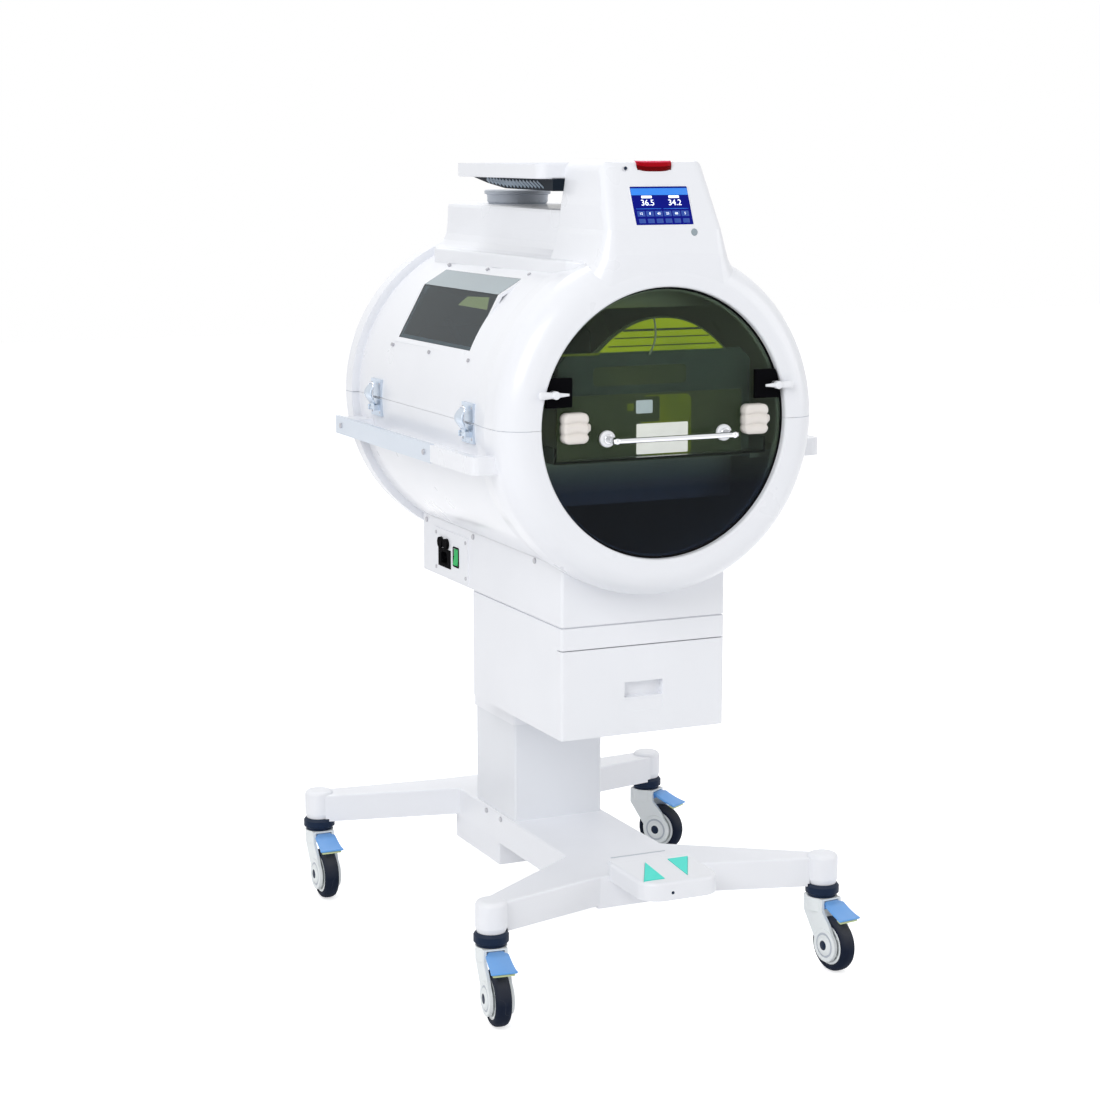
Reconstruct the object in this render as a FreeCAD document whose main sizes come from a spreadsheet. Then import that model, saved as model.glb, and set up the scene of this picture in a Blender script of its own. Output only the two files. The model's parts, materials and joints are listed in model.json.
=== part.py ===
import FreeCAD, Part
import math
import os
import re
import Sketcher

# Infant phototherapy unit: a round treatment chamber with a slide-out bed on a lifting
# column and a four-caster base. Millimetres and degrees. X is the object's right, the
# front faces -Y, Z is up. The origin is on the floor, on the plane of symmetry, midway
# between the front and the rear caster swivel axes.

V = FreeCAD.Vector

SIZES = {
    # Fits between pieces
    "seam": 0.3,
    "slide_gap": 0.4,
    "running_fit": 0.05,
    # Casters
    "wheel_radius": 50,
    "wheel_width": 30,
    "tyre_round": 9,
    "hub_radius": 34,
    "hub_dish": 2.5,
    "axle_radius": 5,
    "axle_cap_radius": 11,
    "axle_cap_height": 3,
    "caster_trail": 38,
    "fork_disc_radius": 31,
    "cheek_thickness": 5.5,
    "cheek_gap": 1.2,
    "crown_radius": 28,
    "crown_low": 108,
    "fork_top": 132.7,
    "collar_radius": 31,
    "collar_waist": 26,
    "collar_low": 133,
    "collar_top": 157,
    "spigot_radius": 7,
    "spigot_length": 18,
    "caster_y": 396,
    "front_caster_x": 331,
    "rear_caster_x": 369.5,
    "yaw_front_left": -97.4,
    "yaw_front_right": -83.6,
    "yaw_rear_left": -91.6,
    "yaw_rear_right": -58.9,
    "brake_pin_x": 21,
    "brake_pin_z": 117,
    "brake_pin_radius": 2.5,
    "brake_barrel_radius": 5.5,
    "brake_half_width": 20,
    "brake_reach": 86,
    "brake_rise": 10,
    "brake_thickness": 6,
    # Base frame
    "base_top": 206,
    "base_low": 152,
    "spine_low": 146,
    "spine_half": 98,
    "spine_front": 338,
    "cap_radius": 28,
    "cap_low": "=collar_top",
    "cap_top": 213,
    "cap_round": 9,
    "front_leg_back": 197,
    "tip_out": 14,
    "tip_across": 24,
    "crossbar_front": 310,
    "crossbar_rear": 396,
    "edge_round": 4,
    "frame_wall": 4,
    "spine_flange": 14,
    "leg_wall": 8,
    "hollow_start": 0.04,
    "hollow_end": 0.62,
    "drive_box_half": 92,
    "drive_box_front": 124,
    "drive_box_rear": 346,
    "drive_box_low": 95,
    "bolt_radius": 5,
    "bolt_height": 2.5,
    "foot_bolt_front": 100,
    "foot_bolt_rear": 170,
    "foot_bolt_z": 196,
    # Foot switch
    "switch_half": 76,
    "switch_front": 484,
    "switch_low": 196,
    "switch_top": 229,
    "switch_corner": 38,
    "switch_edge": 7,
    "switch_plate": 8,
    "switch_plate_half": 50,
    "switch_plate_rear": 280,
    "arrow_well": 6,
    "arrow_stroke": 2,
    "arrow_proud": 1,
    "arrow_gap": 0.6,
    "arrow_base": 42,
    "arrow_reach": 100,
    "arrow_skew": 32,
    "arrow_x": 49,
    "arrow_y": 411,
    # Lifting column
    "column_half": 92.5,
    "column_front": 44,
    "column_rear": 235,
    "column_wall": 3,
    "column_round": 6,
    "column_top": 640,
    "sleeve_low": 397,
    "sleeve_wall": 3,
    # Housing and drawer cabinet
    "housing_half": 162,
    "housing_front": 318,
    "housing_rear": 339,
    "housing_low": 660,
    "housing_top": 790,
    "housing_wall": 3,
    "housing_round": 6,
    "cabinet_low": 456,
    "cabinet_rear": 85,
    "cabinet_wall": 2.5,
    "groove": 3,
    "groove_depth": 4,
    "fascia_low": 618,
    "fascia_gap": 2,
    "drawer_front_thickness": 18,
    "drawer_wall": 2,
    "drawer_side": 12,
    "drawer_depth": 325,
    "drawer_rim": 600,
    "runner_low": 500,
    "runner_height": 30,
    "pull_half": 38,
    "pull_low": 523,
    "pull_high": 551,
    "pull_depth": 14,
    "plate_low": 497,
    "plate_high": 520,
    "plate_depth": 0.6,
    # Treatment drum
    "drum_z": 1019,
    "drum_wall": 5,
    "barrel_rear_radius": 294.5,
    "barrel_front_radius": 299,
    "ring_radius": 304.5,
    "ring_front": 400,
    "ring_rear": 312,
    "ring_blend": 262,
    "ring_round": 50,
    "opening_radius": 235,
    "opening_round": 5,
    "lip_radius": 228,
    "lip_front": 379.7,
    "lip_thickness": 7,
    "rim_radius": 307,
    "rim_front": 341,
    "rim_rear": 385,
    "rim_round": 12,
    "rim_groove": 10,
    "rim_groove_radius": 290,
    # Side window
    "window_front": 177,
    "window_rear": 173,
    "window_low_x": 272,
    "window_low_z": 1137,
    "window_crease_x": 219,
    "window_crease_z": 1234,
    "window_top_x": 174,
    "window_top_z": 1260.5,
    "window_frame": 9,
    "window_step": 8,
    "pane_thickness": 4,
    "window_screw_high": 56.8,
    "window_screw_low": 20.2,
    # Top housing, head, tray and vent
    "ledge_half": 155,
    "ledge_front": 345,
    "ledge_rear": 305,
    "ledge_z": 1297,
    "hump_half": 101,
    "hump_foot": 132,
    "hump_top": 1381,
    "hump_rear": 343,
    "hump_wall": 4,
    "head_top": 1466,
    "head_half": 101,
    "head_rear": 198,
    "head_brow": 341,
    "head_foot_x": 134,
    "screen_half_width": 54.6,
    "screen_drop": 107,
    "screen_height": 64,
    "screen_low_y": 388,
    "screen_high_y": 360,
    "screen_thickness": 3,
    "screen_inset": 0.6,
    "button_x": 53.4,
    "button_z": 1345.8,
    "button_radius": 6,
    "button_length": 9,
    "button_proud": 2,
    "button_stroke": 1.5,
    "socket_x": 57.5,
    "socket_z": 1452,
    "socket_radius": 4.5,
    "alarm_half": 33,
    "alarm_height": 22,
    "alarm_depth": 26,
    "alarm_proud": 3,
    "tray_half": 150,
    "tray_rear": 186,
    "tray_rim": 1459,
    "tray_depth": 25,
    "tray_wall": 4,
    "tray_corner": 18,
    "arm_half": 70,
    "arm_drop": 25,
    "tray_arm_step": 8,
    "vent_y": 235,
    "vent_radius": 64,
    "vent_waist": 58,
    "vent_top": 1407,
    "vent_lip": 9,
    # Rails, latches and hinges
    "rail_x": 339,
    "rail_thickness": 8,
    "rail_front": 150,
    "rail_rear": 345,
    "rail_end": 30,
    "rail_low": 940,
    "rail_high": 974,
    "arm_height": 31,
    "arm_under": 942,
    "arm_front": 346,
    "arm_tongue": 60,
    "latch_rear_y": 228,
    "latch_front_y": 232,
    "latch_half": 25,
    "latch_span": 33,
    "latch_plate": 3,
    "latch_lever_half": 17,
    "latch_rear_radius": 296,
    "latch_pin_z": 1000,
    "latch_pin_radius": 2.5,
    "latch_knuckle": 5,
    "latch_step": 3,
    "hinge_x": 313,
    "hinge_y": 200,
    "hinge_knuckle": 5,
    "hinge_pin_radius": 2.5,
    "hinge_half": 32,
    "hinge_leaf": 26,
    # Power panel
    "panel_front": 102,
    "panel_rear": 272,
    "panel_low": 666,
    "panel_high": 755,
    "panel_thickness": 2,
    "panel_inset": 10,
    "inlet_y": 217,
    "inlet_z": 700,
    "inlet_half_width": 27,
    "inlet_half_height": 16,
    "inlet_depth": 20,
    "fuse_z": 729,
    "fuse_radius": 10.5,
    "fuse_rear_y": 233,
    "fuse_front_y": 205,
    "rocker_y": 156.4,
    "rocker_z": 710.5,
    "rocker_half_width": 11,
    "rocker_half_height": 15.5,
    "rocker_frame": 5,
    "rocker_proud": 3,
    "rocker_pin_radius": 1.2,
    "rocker_pin_length": 1.2,
    "screw_z": 762,
    "screw_inset_front": 112,
    "screw_middle_y": 78,
    "screw_inset_rear": 24,
    "screw_radius": 5,
    "screw_height": 2.5,
    "small_screw_radius": 3.5,
    "small_screw_height": 1.5,
    # Bed and door
    "door_radius": 234.6,
    "door_front": 386,
    "door_thickness": 6,
    "bed_half": 205,
    "bed_rear": 300,
    "bed_top": 962,
    "bed_floor": 4,
    "bed_side": 24,
    "guard_half": 186,
    "guard_top": 1143,
    "guard_thickness": 4,
    "guard_setback": 26,
    "mattress_half": 172,
    "mattress_thickness": 30,
    "mattress_front": 335,
    "mattress_rear": 285,
    "card_half": 50,
    "card_low": 966,
    "card_high": 1019,
    "card_thickness": 2,
    "knob_x": 173.8,
    "knob_z": 1020.5,
    "knob_half": 25,
    "knob_tall": 28,
    "knob_round": 11,
    "knob_depth": 22,
    "knob_shaft": 6,
    "cam_radius": 13,
    "cam_thickness": 5,
    "pad_inner": 177,
    "pad_outer": 224,
    "pad_low": 1056,
    "pad_high": 1106,
    "pad_thickness": 8,
    "swing_x": 214,
    "swing_z": 1079,
    "swing_pin": 3,
    "swing_tip": 189,
    "swing_end": 246,
    "swing_radius": 9,
    "swing_thickness": 9,
    "swing_front": 412,
    "handle_x": 113,
    "handle_shift": 4,
    "handle_z": 998.4,
    "handle_disc": 16.5,
    "handle_post": 6,
    "handle_rod": 4.8,
    "handle_reach": 44,
    "handle_over": 7,
    # Lamp banks and bed runners
    "runner_inner": 190,
    "runner_plate": 12,
    "lamp_half": 180,
    "lamp_front": 300,
    "lamp_rear": 290,
    "lamp_low": 872,
    "lamp_wall": 3,
    "tube_radius": 13,
    "tube_pitch": 58,
    "top_lamp_half": 148,
    "top_lamp_low": 1212,
}

NAME = re.compile(r"[a-z][a-z_]+")


def start_document():
    """An empty document whose sheet holds every named size."""
    document = FreeCAD.newDocument("phototherapy_unit")
    cells = document.addObject("Spreadsheet::Sheet", "Sizes")
    for row, (name, value) in enumerate(SIZES.items(), start=1):
        cells.set(f"A{row}", name)
        cells.set(f"B{row}", str(value))
        cells.setAlias(f"B{row}", name)
    document.recompute()
    return document, cells


doc, sheet = start_document()
nodes = {}


def formula(text):
    """A sum of named sizes, with each name looked up in the sheet."""
    return NAME.sub(lambda word: "Sizes." + word.group() if word.group() in SIZES else word.group(), text)


def number(text):
    """What such a sum comes to now."""
    value = sheet.evalExpression(formula(text))
    return float(getattr(value, "Value", value))


def node(item, name):
    """Name the finished piece and put it on the list of what is written out."""
    item.Label = name
    nodes[name] = item
    return item


# Sketched bodies

def new_body(name):
    return doc.addObject("PartDesign::Body", name)


def new_sketch(body, role, offset="0"):
    sketch = body.newObject("Sketcher::SketchObject", body.Name + "_outline")
    plane = next(item for item in body.Origin.OriginFeatures if item.Role == role)
    sketch.AttachmentSupport = (plane, "")
    sketch.MapMode = "FlatFace"
    sketch.setExpression("AttachmentOffset.Base.z", formula(offset))
    return sketch


def hold(sketch, kind, *parts_and_sum):
    """One driving dimension whose value is a sum of named sizes."""
    *parts, total = parts_and_sum
    place = sketch.addConstraint(Sketcher.Constraint(kind, *parts, number(total)))
    sketch.setExpression(f"Constraints[{place}]", formula(total))


def draw_corners(sketch, corners):
    """A closed outline of straight lines through the corners."""
    first = sketch.GeometryCount
    count = len(corners)
    spots = [V(number(x), number(y), 0) for x, y in corners]
    for index in range(count):
        sketch.addGeometry(Part.LineSegment(spots[index], spots[(index + 1) % count]), False)
    for index, (x, y) in enumerate(corners):
        following = first + (index + 1) % count
        sketch.addConstraint(Sketcher.Constraint("Coincident", first + index, 2, following, 1))
        hold(sketch, "DistanceX", -1, 1, first + index, 1, x)
        hold(sketch, "DistanceY", -1, 1, first + index, 1, y)


def draw_circle(sketch, x, y, radius):
    spot = V(number(x), number(y), 0)
    index = sketch.addGeometry(Part.Circle(spot, V(0, 0, 1), number(radius)), False)
    hold(sketch, "DistanceX", -1, 1, index, 3, x)
    hold(sketch, "DistanceY", -1, 1, index, 3, y)
    hold(sketch, "Radius", index, radius)


def draw(sketch, shapes):
    """Outlines are lists of corners, circles are x, y and radius."""
    for shape in shapes:
        if isinstance(shape, tuple):
            draw_circle(sketch, *shape)
        else:
            draw_corners(sketch, shape)


def rectangle(x_low, x_high, y_low, y_high):
    return [(x_low, y_low), (x_high, y_low), (x_high, y_high), (x_low, y_high)]


def add_feature(body, kind, **links):
    before = body.Tip
    feature = body.newObject("PartDesign::" + kind, f"{body.Name}_{kind.lower()}")
    for name, value in links.items():
        setattr(feature, name, before if value == "before" else value)
    body.Tip = feature
    return feature


def pad(body, role, low, high, *shapes):
    """Material between two levels across the plane. The XZ plane's sketch faces -Y."""
    sketch = new_sketch(body, role, f"-({high})" if role == "XZ_Plane" else low)
    draw(sketch, shapes)
    feature = add_feature(body, "Pad", Profile=sketch)
    feature.setExpression("Length", formula(f"({high}) - ({low})"))
    return feature


def pocket(body, role, low, high, *shapes):
    """A cut between two levels across the plane, made backwards from its sketch."""
    sketch = new_sketch(body, role, f"-({low})" if role == "XZ_Plane" else high)
    draw(sketch, shapes)
    feature = add_feature(body, "Pocket", Profile=sketch)
    feature.setExpression("Length", formula(f"({high}) - ({low})"))
    return feature


def turn(body, profile, kind="Revolution", role="XZ_Plane"):
    """A profile of radius and height, turned about the sketch's upright axis."""
    sketch = new_sketch(body, role)
    draw_corners(sketch, profile)
    feature = add_feature(body, kind, Profile=sketch, ReferenceAxis=(sketch, ["V_Axis"]))
    feature.Angle = 360
    return feature


def round_edges(body, radius, wanted, kind="Fillet"):
    """A fillet or chamfer on the edges that the test picks."""
    doc.recompute()
    edges = body.Tip.Shape.Edges
    names = [f"Edge{index}" for index, edge in enumerate(edges, start=1) if wanted(edge)]
    feature = add_feature(body, kind, Base=(body.Tip, names))
    feature.setExpression("Radius" if kind == "Fillet" else "Size", formula(radius))
    return feature


def runs_along(edge, axis):
    """True for a straight edge along the axis 0, 1 or 2."""
    if len(edge.Vertexes) < 2:
        return False
    step = edge.Vertexes[1].Point - edge.Vertexes[0].Point
    straight = abs(step.Length - edge.Length) < 1e-6
    return straight and abs(abs(step[axis]) - step.Length) < 1e-6


def lies_at(edge, axis, text):
    """True for an edge that lies wholly at one level of the axis."""
    level = number(text)
    box = edge.BoundBox
    low, high = ((box.XMin, box.XMax), (box.YMin, box.YMax), (box.ZMin, box.ZMax))[axis]
    return abs(low - level) < 1e-3 and abs(high - level) < 1e-3


def place(item, x="0", y="0", z="0", axis=V(0, 0, 1), angle="0"):
    """Put a body where sums of named sizes say, turned about one axis."""
    item.Placement = FreeCAD.Placement(V(0, 0, 0), FreeCAD.Rotation(axis, 1))
    for path, text in (("Base.x", x), ("Base.y", y), ("Base.z", z), ("Rotation.Angle", angle)):
        item.setExpression("Placement." + path, formula(text))
    return item


# Primitives and sets of solids

def block(name, x_low, x_high, y_low, y_high, z_low, z_high):
    item = doc.addObject("Part::Box", name)
    for axis, low, high, size in (("x", x_low, x_high, "Length"), ("y", y_low, y_high, "Width"),
                                  ("z", z_low, z_high, "Height")):
        item.setExpression("Placement.Base." + axis, formula(low))
        item.setExpression(size, formula(f"({high}) - ({low})"))
    return item


DIRECTIONS = {"x": V(0, 1, 0), "y": V(-1, 0, 0), "z": V(0, 0, 1)}


def rod(name, direction, x, y, z, radius, length):
    """A cylinder that starts at a point and runs along +X, +Y or +Z."""
    item = doc.addObject("Part::Cylinder", name)
    item.setExpression("Radius", formula(radius))
    item.setExpression("Height", formula(length))
    return place(item, x, y, z, DIRECTIONS[direction], "0" if direction == "z" else "90")


def cut(name, base, tool):
    item = doc.addObject("Part::Cut", name)
    item.Base = base
    item.Tool = tool
    return item


def common(name, base, tool):
    item = doc.addObject("Part::Common", name)
    item.Base = base
    item.Tool = tool
    return item


def fuse(name, *pieces):
    item = doc.addObject("Part::MultiFuse", name)
    item.Shapes = list(pieces)
    return item


def group(name, *pieces):
    """Like pieces that share one node, each a solid of its own."""
    item = doc.addObject("Part::Compound", name)
    item.Links = list(pieces)
    return item


# Base frame

CORNERS = {
    "front_left": ("-front_caster_x", "-caster_y", "yaw_front_left"),
    "front_right": ("front_caster_x", "-caster_y", "yaw_front_right"),
    "rear_left": ("-rear_caster_x", "caster_y", "yaw_rear_left"),
    "rear_right": ("rear_caster_x", "caster_y", "yaw_rear_right"),
}


def front_leg(side):
    """A leg that tapers from the spine to the cap over its caster."""
    return [
        (f"{side} * (spine_half - 4)", "-front_leg_back"),
        (f"{side} * (front_caster_x + tip_out)", "-caster_y + tip_across"),
        (f"{side} * front_caster_x", "-caster_y"),
        (f"{side} * (front_caster_x - tip_across)", "-caster_y - 3"),
        (f"{side} * (spine_half - 4)", "-spine_front"),
    ]


def rear_leg(side):
    """Half of the rear crossbar, from the spine to the cap over its caster."""
    return [
        (f"{side} * (spine_half - 4)", "crossbar_front"),
        (f"{side} * (rear_caster_x + tip_out)", "caster_y - tip_across"),
        (f"{side} * rear_caster_x", "caster_y"),
        (f"{side} * (rear_caster_x - tip_out)", "caster_y + tip_across"),
        (f"{side} * (spine_half - 4)", "crossbar_rear"),
    ]


def along(line, share, inward):
    """A point part of the way along a leg's long edge, moved in from it by the leg's wall."""
    (x_start, y_start), (x_end, y_end) = line
    return (f"({x_start}) + ({share}) * (({x_end}) - ({x_start}))",
            f"({y_start}) + ({share}) * (({y_end}) - ({y_start})) + {inward} * leg_wall")


def leg_hollow(leg, inward):
    """The open underside of a leg, clear of the spine and stopped short of its cap."""
    first, last = (leg[0], leg[1]), (leg[4], leg[3])
    return [along(first, "hollow_start", inward), along(first, "hollow_end", inward),
            along(last, "hollow_end", -inward), along(last, "hollow_start", -inward)]


def base_frame():
    body = new_body("base_frame")
    pad(body, "XY_Plane", "spine_low", "base_top",
        rectangle("-spine_half", "spine_half", "-spine_front", "crossbar_rear"))
    for leg in (front_leg, rear_leg):
        for side in (-1, 1):
            pad(body, "XY_Plane", "base_low", "base_top", leg(side))
    for x, y, _ in CORNERS.values():
        pocket(body, "XY_Plane", "spine_low", "base_top", (x, y, "cap_radius"))
        pocket(body, "XY_Plane", "base_low", "collar_top + seam", (x, y, "collar_radius + seam"))
    pocket(body, "XY_Plane", "spine_low", "base_top - frame_wall",
           rectangle("-spine_half + spine_flange", "spine_half - spine_flange",
                     "-spine_front + frame_wall", "crossbar_rear - frame_wall"))
    for side in (-1, 1):
        for leg, inward in ((front_leg(side), -1), (rear_leg(side), 1)):
            pocket(body, "XY_Plane", "base_low", "base_top - frame_wall", leg_hollow(leg, inward))
    round_edges(body, "edge_round", lambda edge: lies_at(edge, 2, "base_top") and edge.Curve.TypeId.endswith("Line"))
    return node(body, "base_frame")


def turned_at(name, x, y, profile, rounds=()):
    body = new_body(name)
    turn(body, profile)
    for radius, level in rounds:
        round_edges(body, radius, lambda edge: lies_at(edge, 2, level) and edge.Length > 1)
    return place(body, x, y)


def leg_end_caps():
    """Rounded moulded caps over the legs' ends."""
    profile = [
        ("0", "cap_low"), ("cap_radius - 3", "cap_low"), ("cap_radius", "cap_low + cap_round"),
        ("cap_radius", "cap_top"), ("0", "cap_top"),
    ]
    caps = [turned_at("cap_" + corner, x, y, profile, [("cap_round", "cap_top")])
            for corner, (x, y, _) in CORNERS.items()]
    return node(group("leg_end_cap_set", *caps), "leg_end_caps")


def caster_collars():
    """Bearing rings under the caps, each with the spigot that its fork turns on."""
    profile = [
        ("0", "collar_low - spigot_length"), ("spigot_radius", "collar_low - spigot_length"),
        ("spigot_radius", "collar_low"), ("collar_waist", "collar_low"),
        ("collar_waist", "collar_low + 4"), ("collar_radius", "collar_low + 7"),
        ("collar_radius", "collar_top - 5"), ("collar_radius - 4", "collar_top"), ("0", "collar_top"),
    ]
    collars = [turned_at("collar_" + corner, x, y, profile) for corner, (x, y, _) in CORNERS.items()]
    return node(group("caster_collar_set", *collars), "caster_collars")


def drive_box():
    """The lift drive's cover, hung under the spine."""
    body = new_body("drive_box")
    pad(body, "XY_Plane", "drive_box_low", "spine_low",
        rectangle("-drive_box_half", "drive_box_half", "drive_box_front", "drive_box_rear"))
    round_edges(body, "edge_round", lambda edge: runs_along(edge, 2) or lies_at(edge, 2, "drive_box_low"))
    return node(body, "drive_box")


def foot_bolts():
    """Button-head bolts that hold the column's foot in the spine."""
    heads = []
    for side in (-1, 1):
        for name in ("front", "rear"):
            start = "spine_half" if side == 1 else "-spine_half - bolt_height"
            heads.append(rod(f"foot_bolt_{name}", "x", start, f"foot_bolt_{name}", "foot_bolt_z",
                             "bolt_radius", "bolt_height"))
    return node(group("foot_bolt_set", *heads), "foot_bolts")


def column_outline(grow):
    """The column's section, moved outwards by a distance."""
    return rectangle(f"-column_half - ({grow})", f"column_half + ({grow})",
                     f"column_front - ({grow})", f"column_rear + ({grow})")


def tube(name, low, high, outside, inside, corner):
    body = new_body(name)
    pad(body, "XY_Plane", low, high, column_outline(outside))
    round_edges(body, corner, lambda edge: runs_along(edge, 2))
    pocket(body, "XY_Plane", low, high, column_outline(inside))
    return node(body, name)


# Foot switch

def arrow(side, shrink):
    """A slanted triangle that points away from the user on the left and back on the right."""
    flat = f"-arrow_y - {side} * (arrow_reach / 2 - ({shrink}))"
    tip = f"-arrow_y + {side} * (arrow_reach / 2 - 5 * ({shrink}))"
    middle = f"-{side} * arrow_x"
    return [
        (f"{middle} - {side} * (arrow_base / 2 - 1.7 * ({shrink}))", flat),
        (f"{middle} + {side} * (arrow_base / 2 - ({shrink}))", flat),
        (f"{middle} + {side} * (arrow_skew - 1.5 * ({shrink}))", tip),
    ]


def foot_switch():
    """The moulded foot switch with a well for each of its two arrow keys."""
    body = new_body("foot_switch_housing")
    pad(body, "XY_Plane", "switch_low", "switch_top",
        rectangle("-switch_half", "switch_half", "-switch_front", "-spine_front"))
    round_edges(body, "switch_corner", lambda edge: runs_along(edge, 2) and edge.BoundBox.YMax < number("-switch_front") + 1)
    round_edges(body, "switch_edge", lambda edge: lies_at(edge, 2, "switch_top"))
    pad(body, "XY_Plane", "base_top", "base_top + switch_plate",
        rectangle("-switch_plate_half", "switch_plate_half", "-spine_front - 1", "-switch_plate_rear"))
    pocket(body, "XY_Plane", "switch_top - arrow_well", "switch_top", arrow(1, "0"), arrow(-1, "0"))
    node(body, "foot_switch_housing")
    for name, side in (("foot_switch_up", 1), ("foot_switch_down", -1)):
        key = new_body(name)
        pad(key, "XY_Plane", "switch_top - arrow_well + arrow_stroke + seam", "switch_top + arrow_proud",
            arrow(side, "arrow_gap"))
        node(key, name)


# Casters, built with the swivel axis at x = 0, y = 0 and the wheel trailing towards +X

def caster_fork(corner, x, y, yaw):
    body = new_body("caster_fork_" + corner)
    outer = "wheel_width / 2 + cheek_gap + cheek_thickness"
    inner = "wheel_width / 2 + cheek_gap"
    cheek = [
        ("-crown_radius + 2", "fork_top"), ("-crown_radius + 2", "crown_low - 6"),
        ("caster_trail - fork_disc_radius + 1", "wheel_radius + 6"),
        ("caster_trail", "wheel_radius - fork_disc_radius / 2"),
        ("caster_trail + fork_disc_radius - 1", "wheel_radius + 6"),
        ("caster_trail + 12", "crown_low - 19"), ("crown_radius + 1", "crown_low + 3"),
        ("brake_pin_x + brake_barrel_radius + 2", "fork_top"),
    ]
    pad(body, "XZ_Plane", f"-({outer})", outer, cheek)
    pad(body, "XZ_Plane", f"-({outer})", outer, ("caster_trail", "wheel_radius", "fork_disc_radius"))
    pad(body, "XY_Plane", "crown_low", "fork_top", ("0", "0", "crown_radius"))
    pocket(body, "XZ_Plane", f"-({inner})", inner,
           rectangle("-crown_radius - 1", "caster_trail + fork_disc_radius + 1", "0", "crown_low"))
    pocket(body, "XZ_Plane", f"-({inner})", inner,
           rectangle("brake_pin_x - brake_barrel_radius - 2", "crown_radius + 8", "crown_low", "fork_top - 3"))
    pocket(body, "XY_Plane", "collar_low - spigot_length - 2", "fork_top",
           ("0", "0", "spigot_radius + running_fit"))
    pad(body, "XZ_Plane", f"-({outer}) - axle_cap_height", f"({outer}) + axle_cap_height",
        ("caster_trail", "wheel_radius", "axle_radius"))
    for low, high in ((f"-({outer}) - axle_cap_height", f"-({outer})"), (outer, f"({outer}) + axle_cap_height")):
        pad(body, "XZ_Plane", low, high, ("caster_trail", "wheel_radius", "axle_cap_radius"))
    pad(body, "XZ_Plane", f"-({outer})", outer, ("brake_pin_x", "brake_pin_z", "brake_pin_radius"))
    place(body, x, y, angle=yaw)
    return node(body, "caster_fork_" + corner)


def caster_wheel(corner, x, y, yaw):
    body = new_body("caster_wheel_" + corner)
    half = "wheel_width / 2"
    profile = [
        ("axle_radius + running_fit", f"-{half}"), ("hub_radius - 14", f"-{half}"),
        ("hub_radius - 10", f"-{half} + hub_dish"), ("hub_radius", f"-{half} + hub_dish"),
        ("hub_radius + 2", f"-{half}"), ("wheel_radius", f"-{half}"), ("wheel_radius", half),
        ("hub_radius + 2", half), ("hub_radius", f"{half} - hub_dish"),
        ("hub_radius - 10", f"{half} - hub_dish"), ("hub_radius - 14", half),
        ("axle_radius + running_fit", half),
    ]
    turn(body, profile, role="XY_Plane")
    round_edges(body, "tyre_round", lambda edge: abs(edge.BoundBox.XMax - number("wheel_radius")) < 1e-3
                and edge.BoundBox.YLength < 1e-3)
    place(body, f"{x} + caster_trail * cos({yaw})", f"{y} + caster_trail * sin({yaw})", "wheel_radius", angle=yaw)
    return node(body, "caster_wheel_" + corner)


def brake_pedal(corner, x, y, yaw):
    """A pedal that slopes out over the wheel to a pointed tip and turns on a pin in the fork."""
    body = new_body("brake_pedal_" + corner)
    neck = "wheel_width / 2 + cheek_gap - slide_gap"
    root = "crown_radius + 9"
    tip_z = "brake_pin_z - brake_rise"
    pad(body, "XZ_Plane", f"-({neck})", neck, ("brake_pin_x", "brake_pin_z", "brake_barrel_radius"))
    pad(body, "XZ_Plane", f"-({neck})", neck,
        [("brake_pin_x", "brake_pin_z + 5"), ("brake_pin_x", "brake_pin_z - 3"),
         (root, "brake_pin_z - 1"), (root, "brake_pin_z + brake_thickness - 1")])
    pad(body, "XZ_Plane", "-brake_half_width", "brake_half_width",
        [(f"{root} - 2", "brake_pin_z + brake_thickness - 1"), (f"{root} - 2", "brake_pin_z"),
         ("brake_reach", tip_z), ("brake_reach", f"{tip_z} + 3"),
         ("brake_reach - 26", f"{tip_z} + brake_thickness + 4")])
    pocket(body, "XZ_Plane", f"-({neck})", neck, ("brake_pin_x", "brake_pin_z", "brake_pin_radius + running_fit"))
    for side in (-1, 1):
        pocket(body, "XY_Plane", f"{tip_z} - 1", "brake_pin_z + 12",
               [("brake_reach - 22", f"{side} * (brake_half_width + 1)"),
                ("brake_reach + 1", f"{side} * (brake_half_width + 1)"),
                ("brake_reach + 1", f"{side} * 4")])
    place(body, x, y, angle=yaw)
    return node(body, "brake_pedal_" + corner)


def build_base():
    base_frame()
    leg_end_caps()
    caster_collars()
    drive_box()
    foot_bolts()
    tube("inner_column", "base_top", "column_top", "0", "-column_wall", "column_round")
    foot_switch()
    for corner, (x, y, yaw) in CORNERS.items():
        caster_fork(corner, x, y, yaw)
        caster_wheel(corner, x, y, yaw)
        brake_pedal(corner, x, y, yaw)


# Treatment drum, turned about its own axis with radius along X and depth along Y

def opening_curve(steps=4):
    """The rounded front edge of the round opening."""
    curve = []
    for step in range(steps + 1):
        angle = math.radians(90 * step / steps)
        across, back = 1 - math.sin(angle), 1 - math.cos(angle)
        curve.append((f"opening_radius + opening_round * {across:.4f}", f"-ring_front + opening_round * {back:.4f}"))
    return curve


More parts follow.
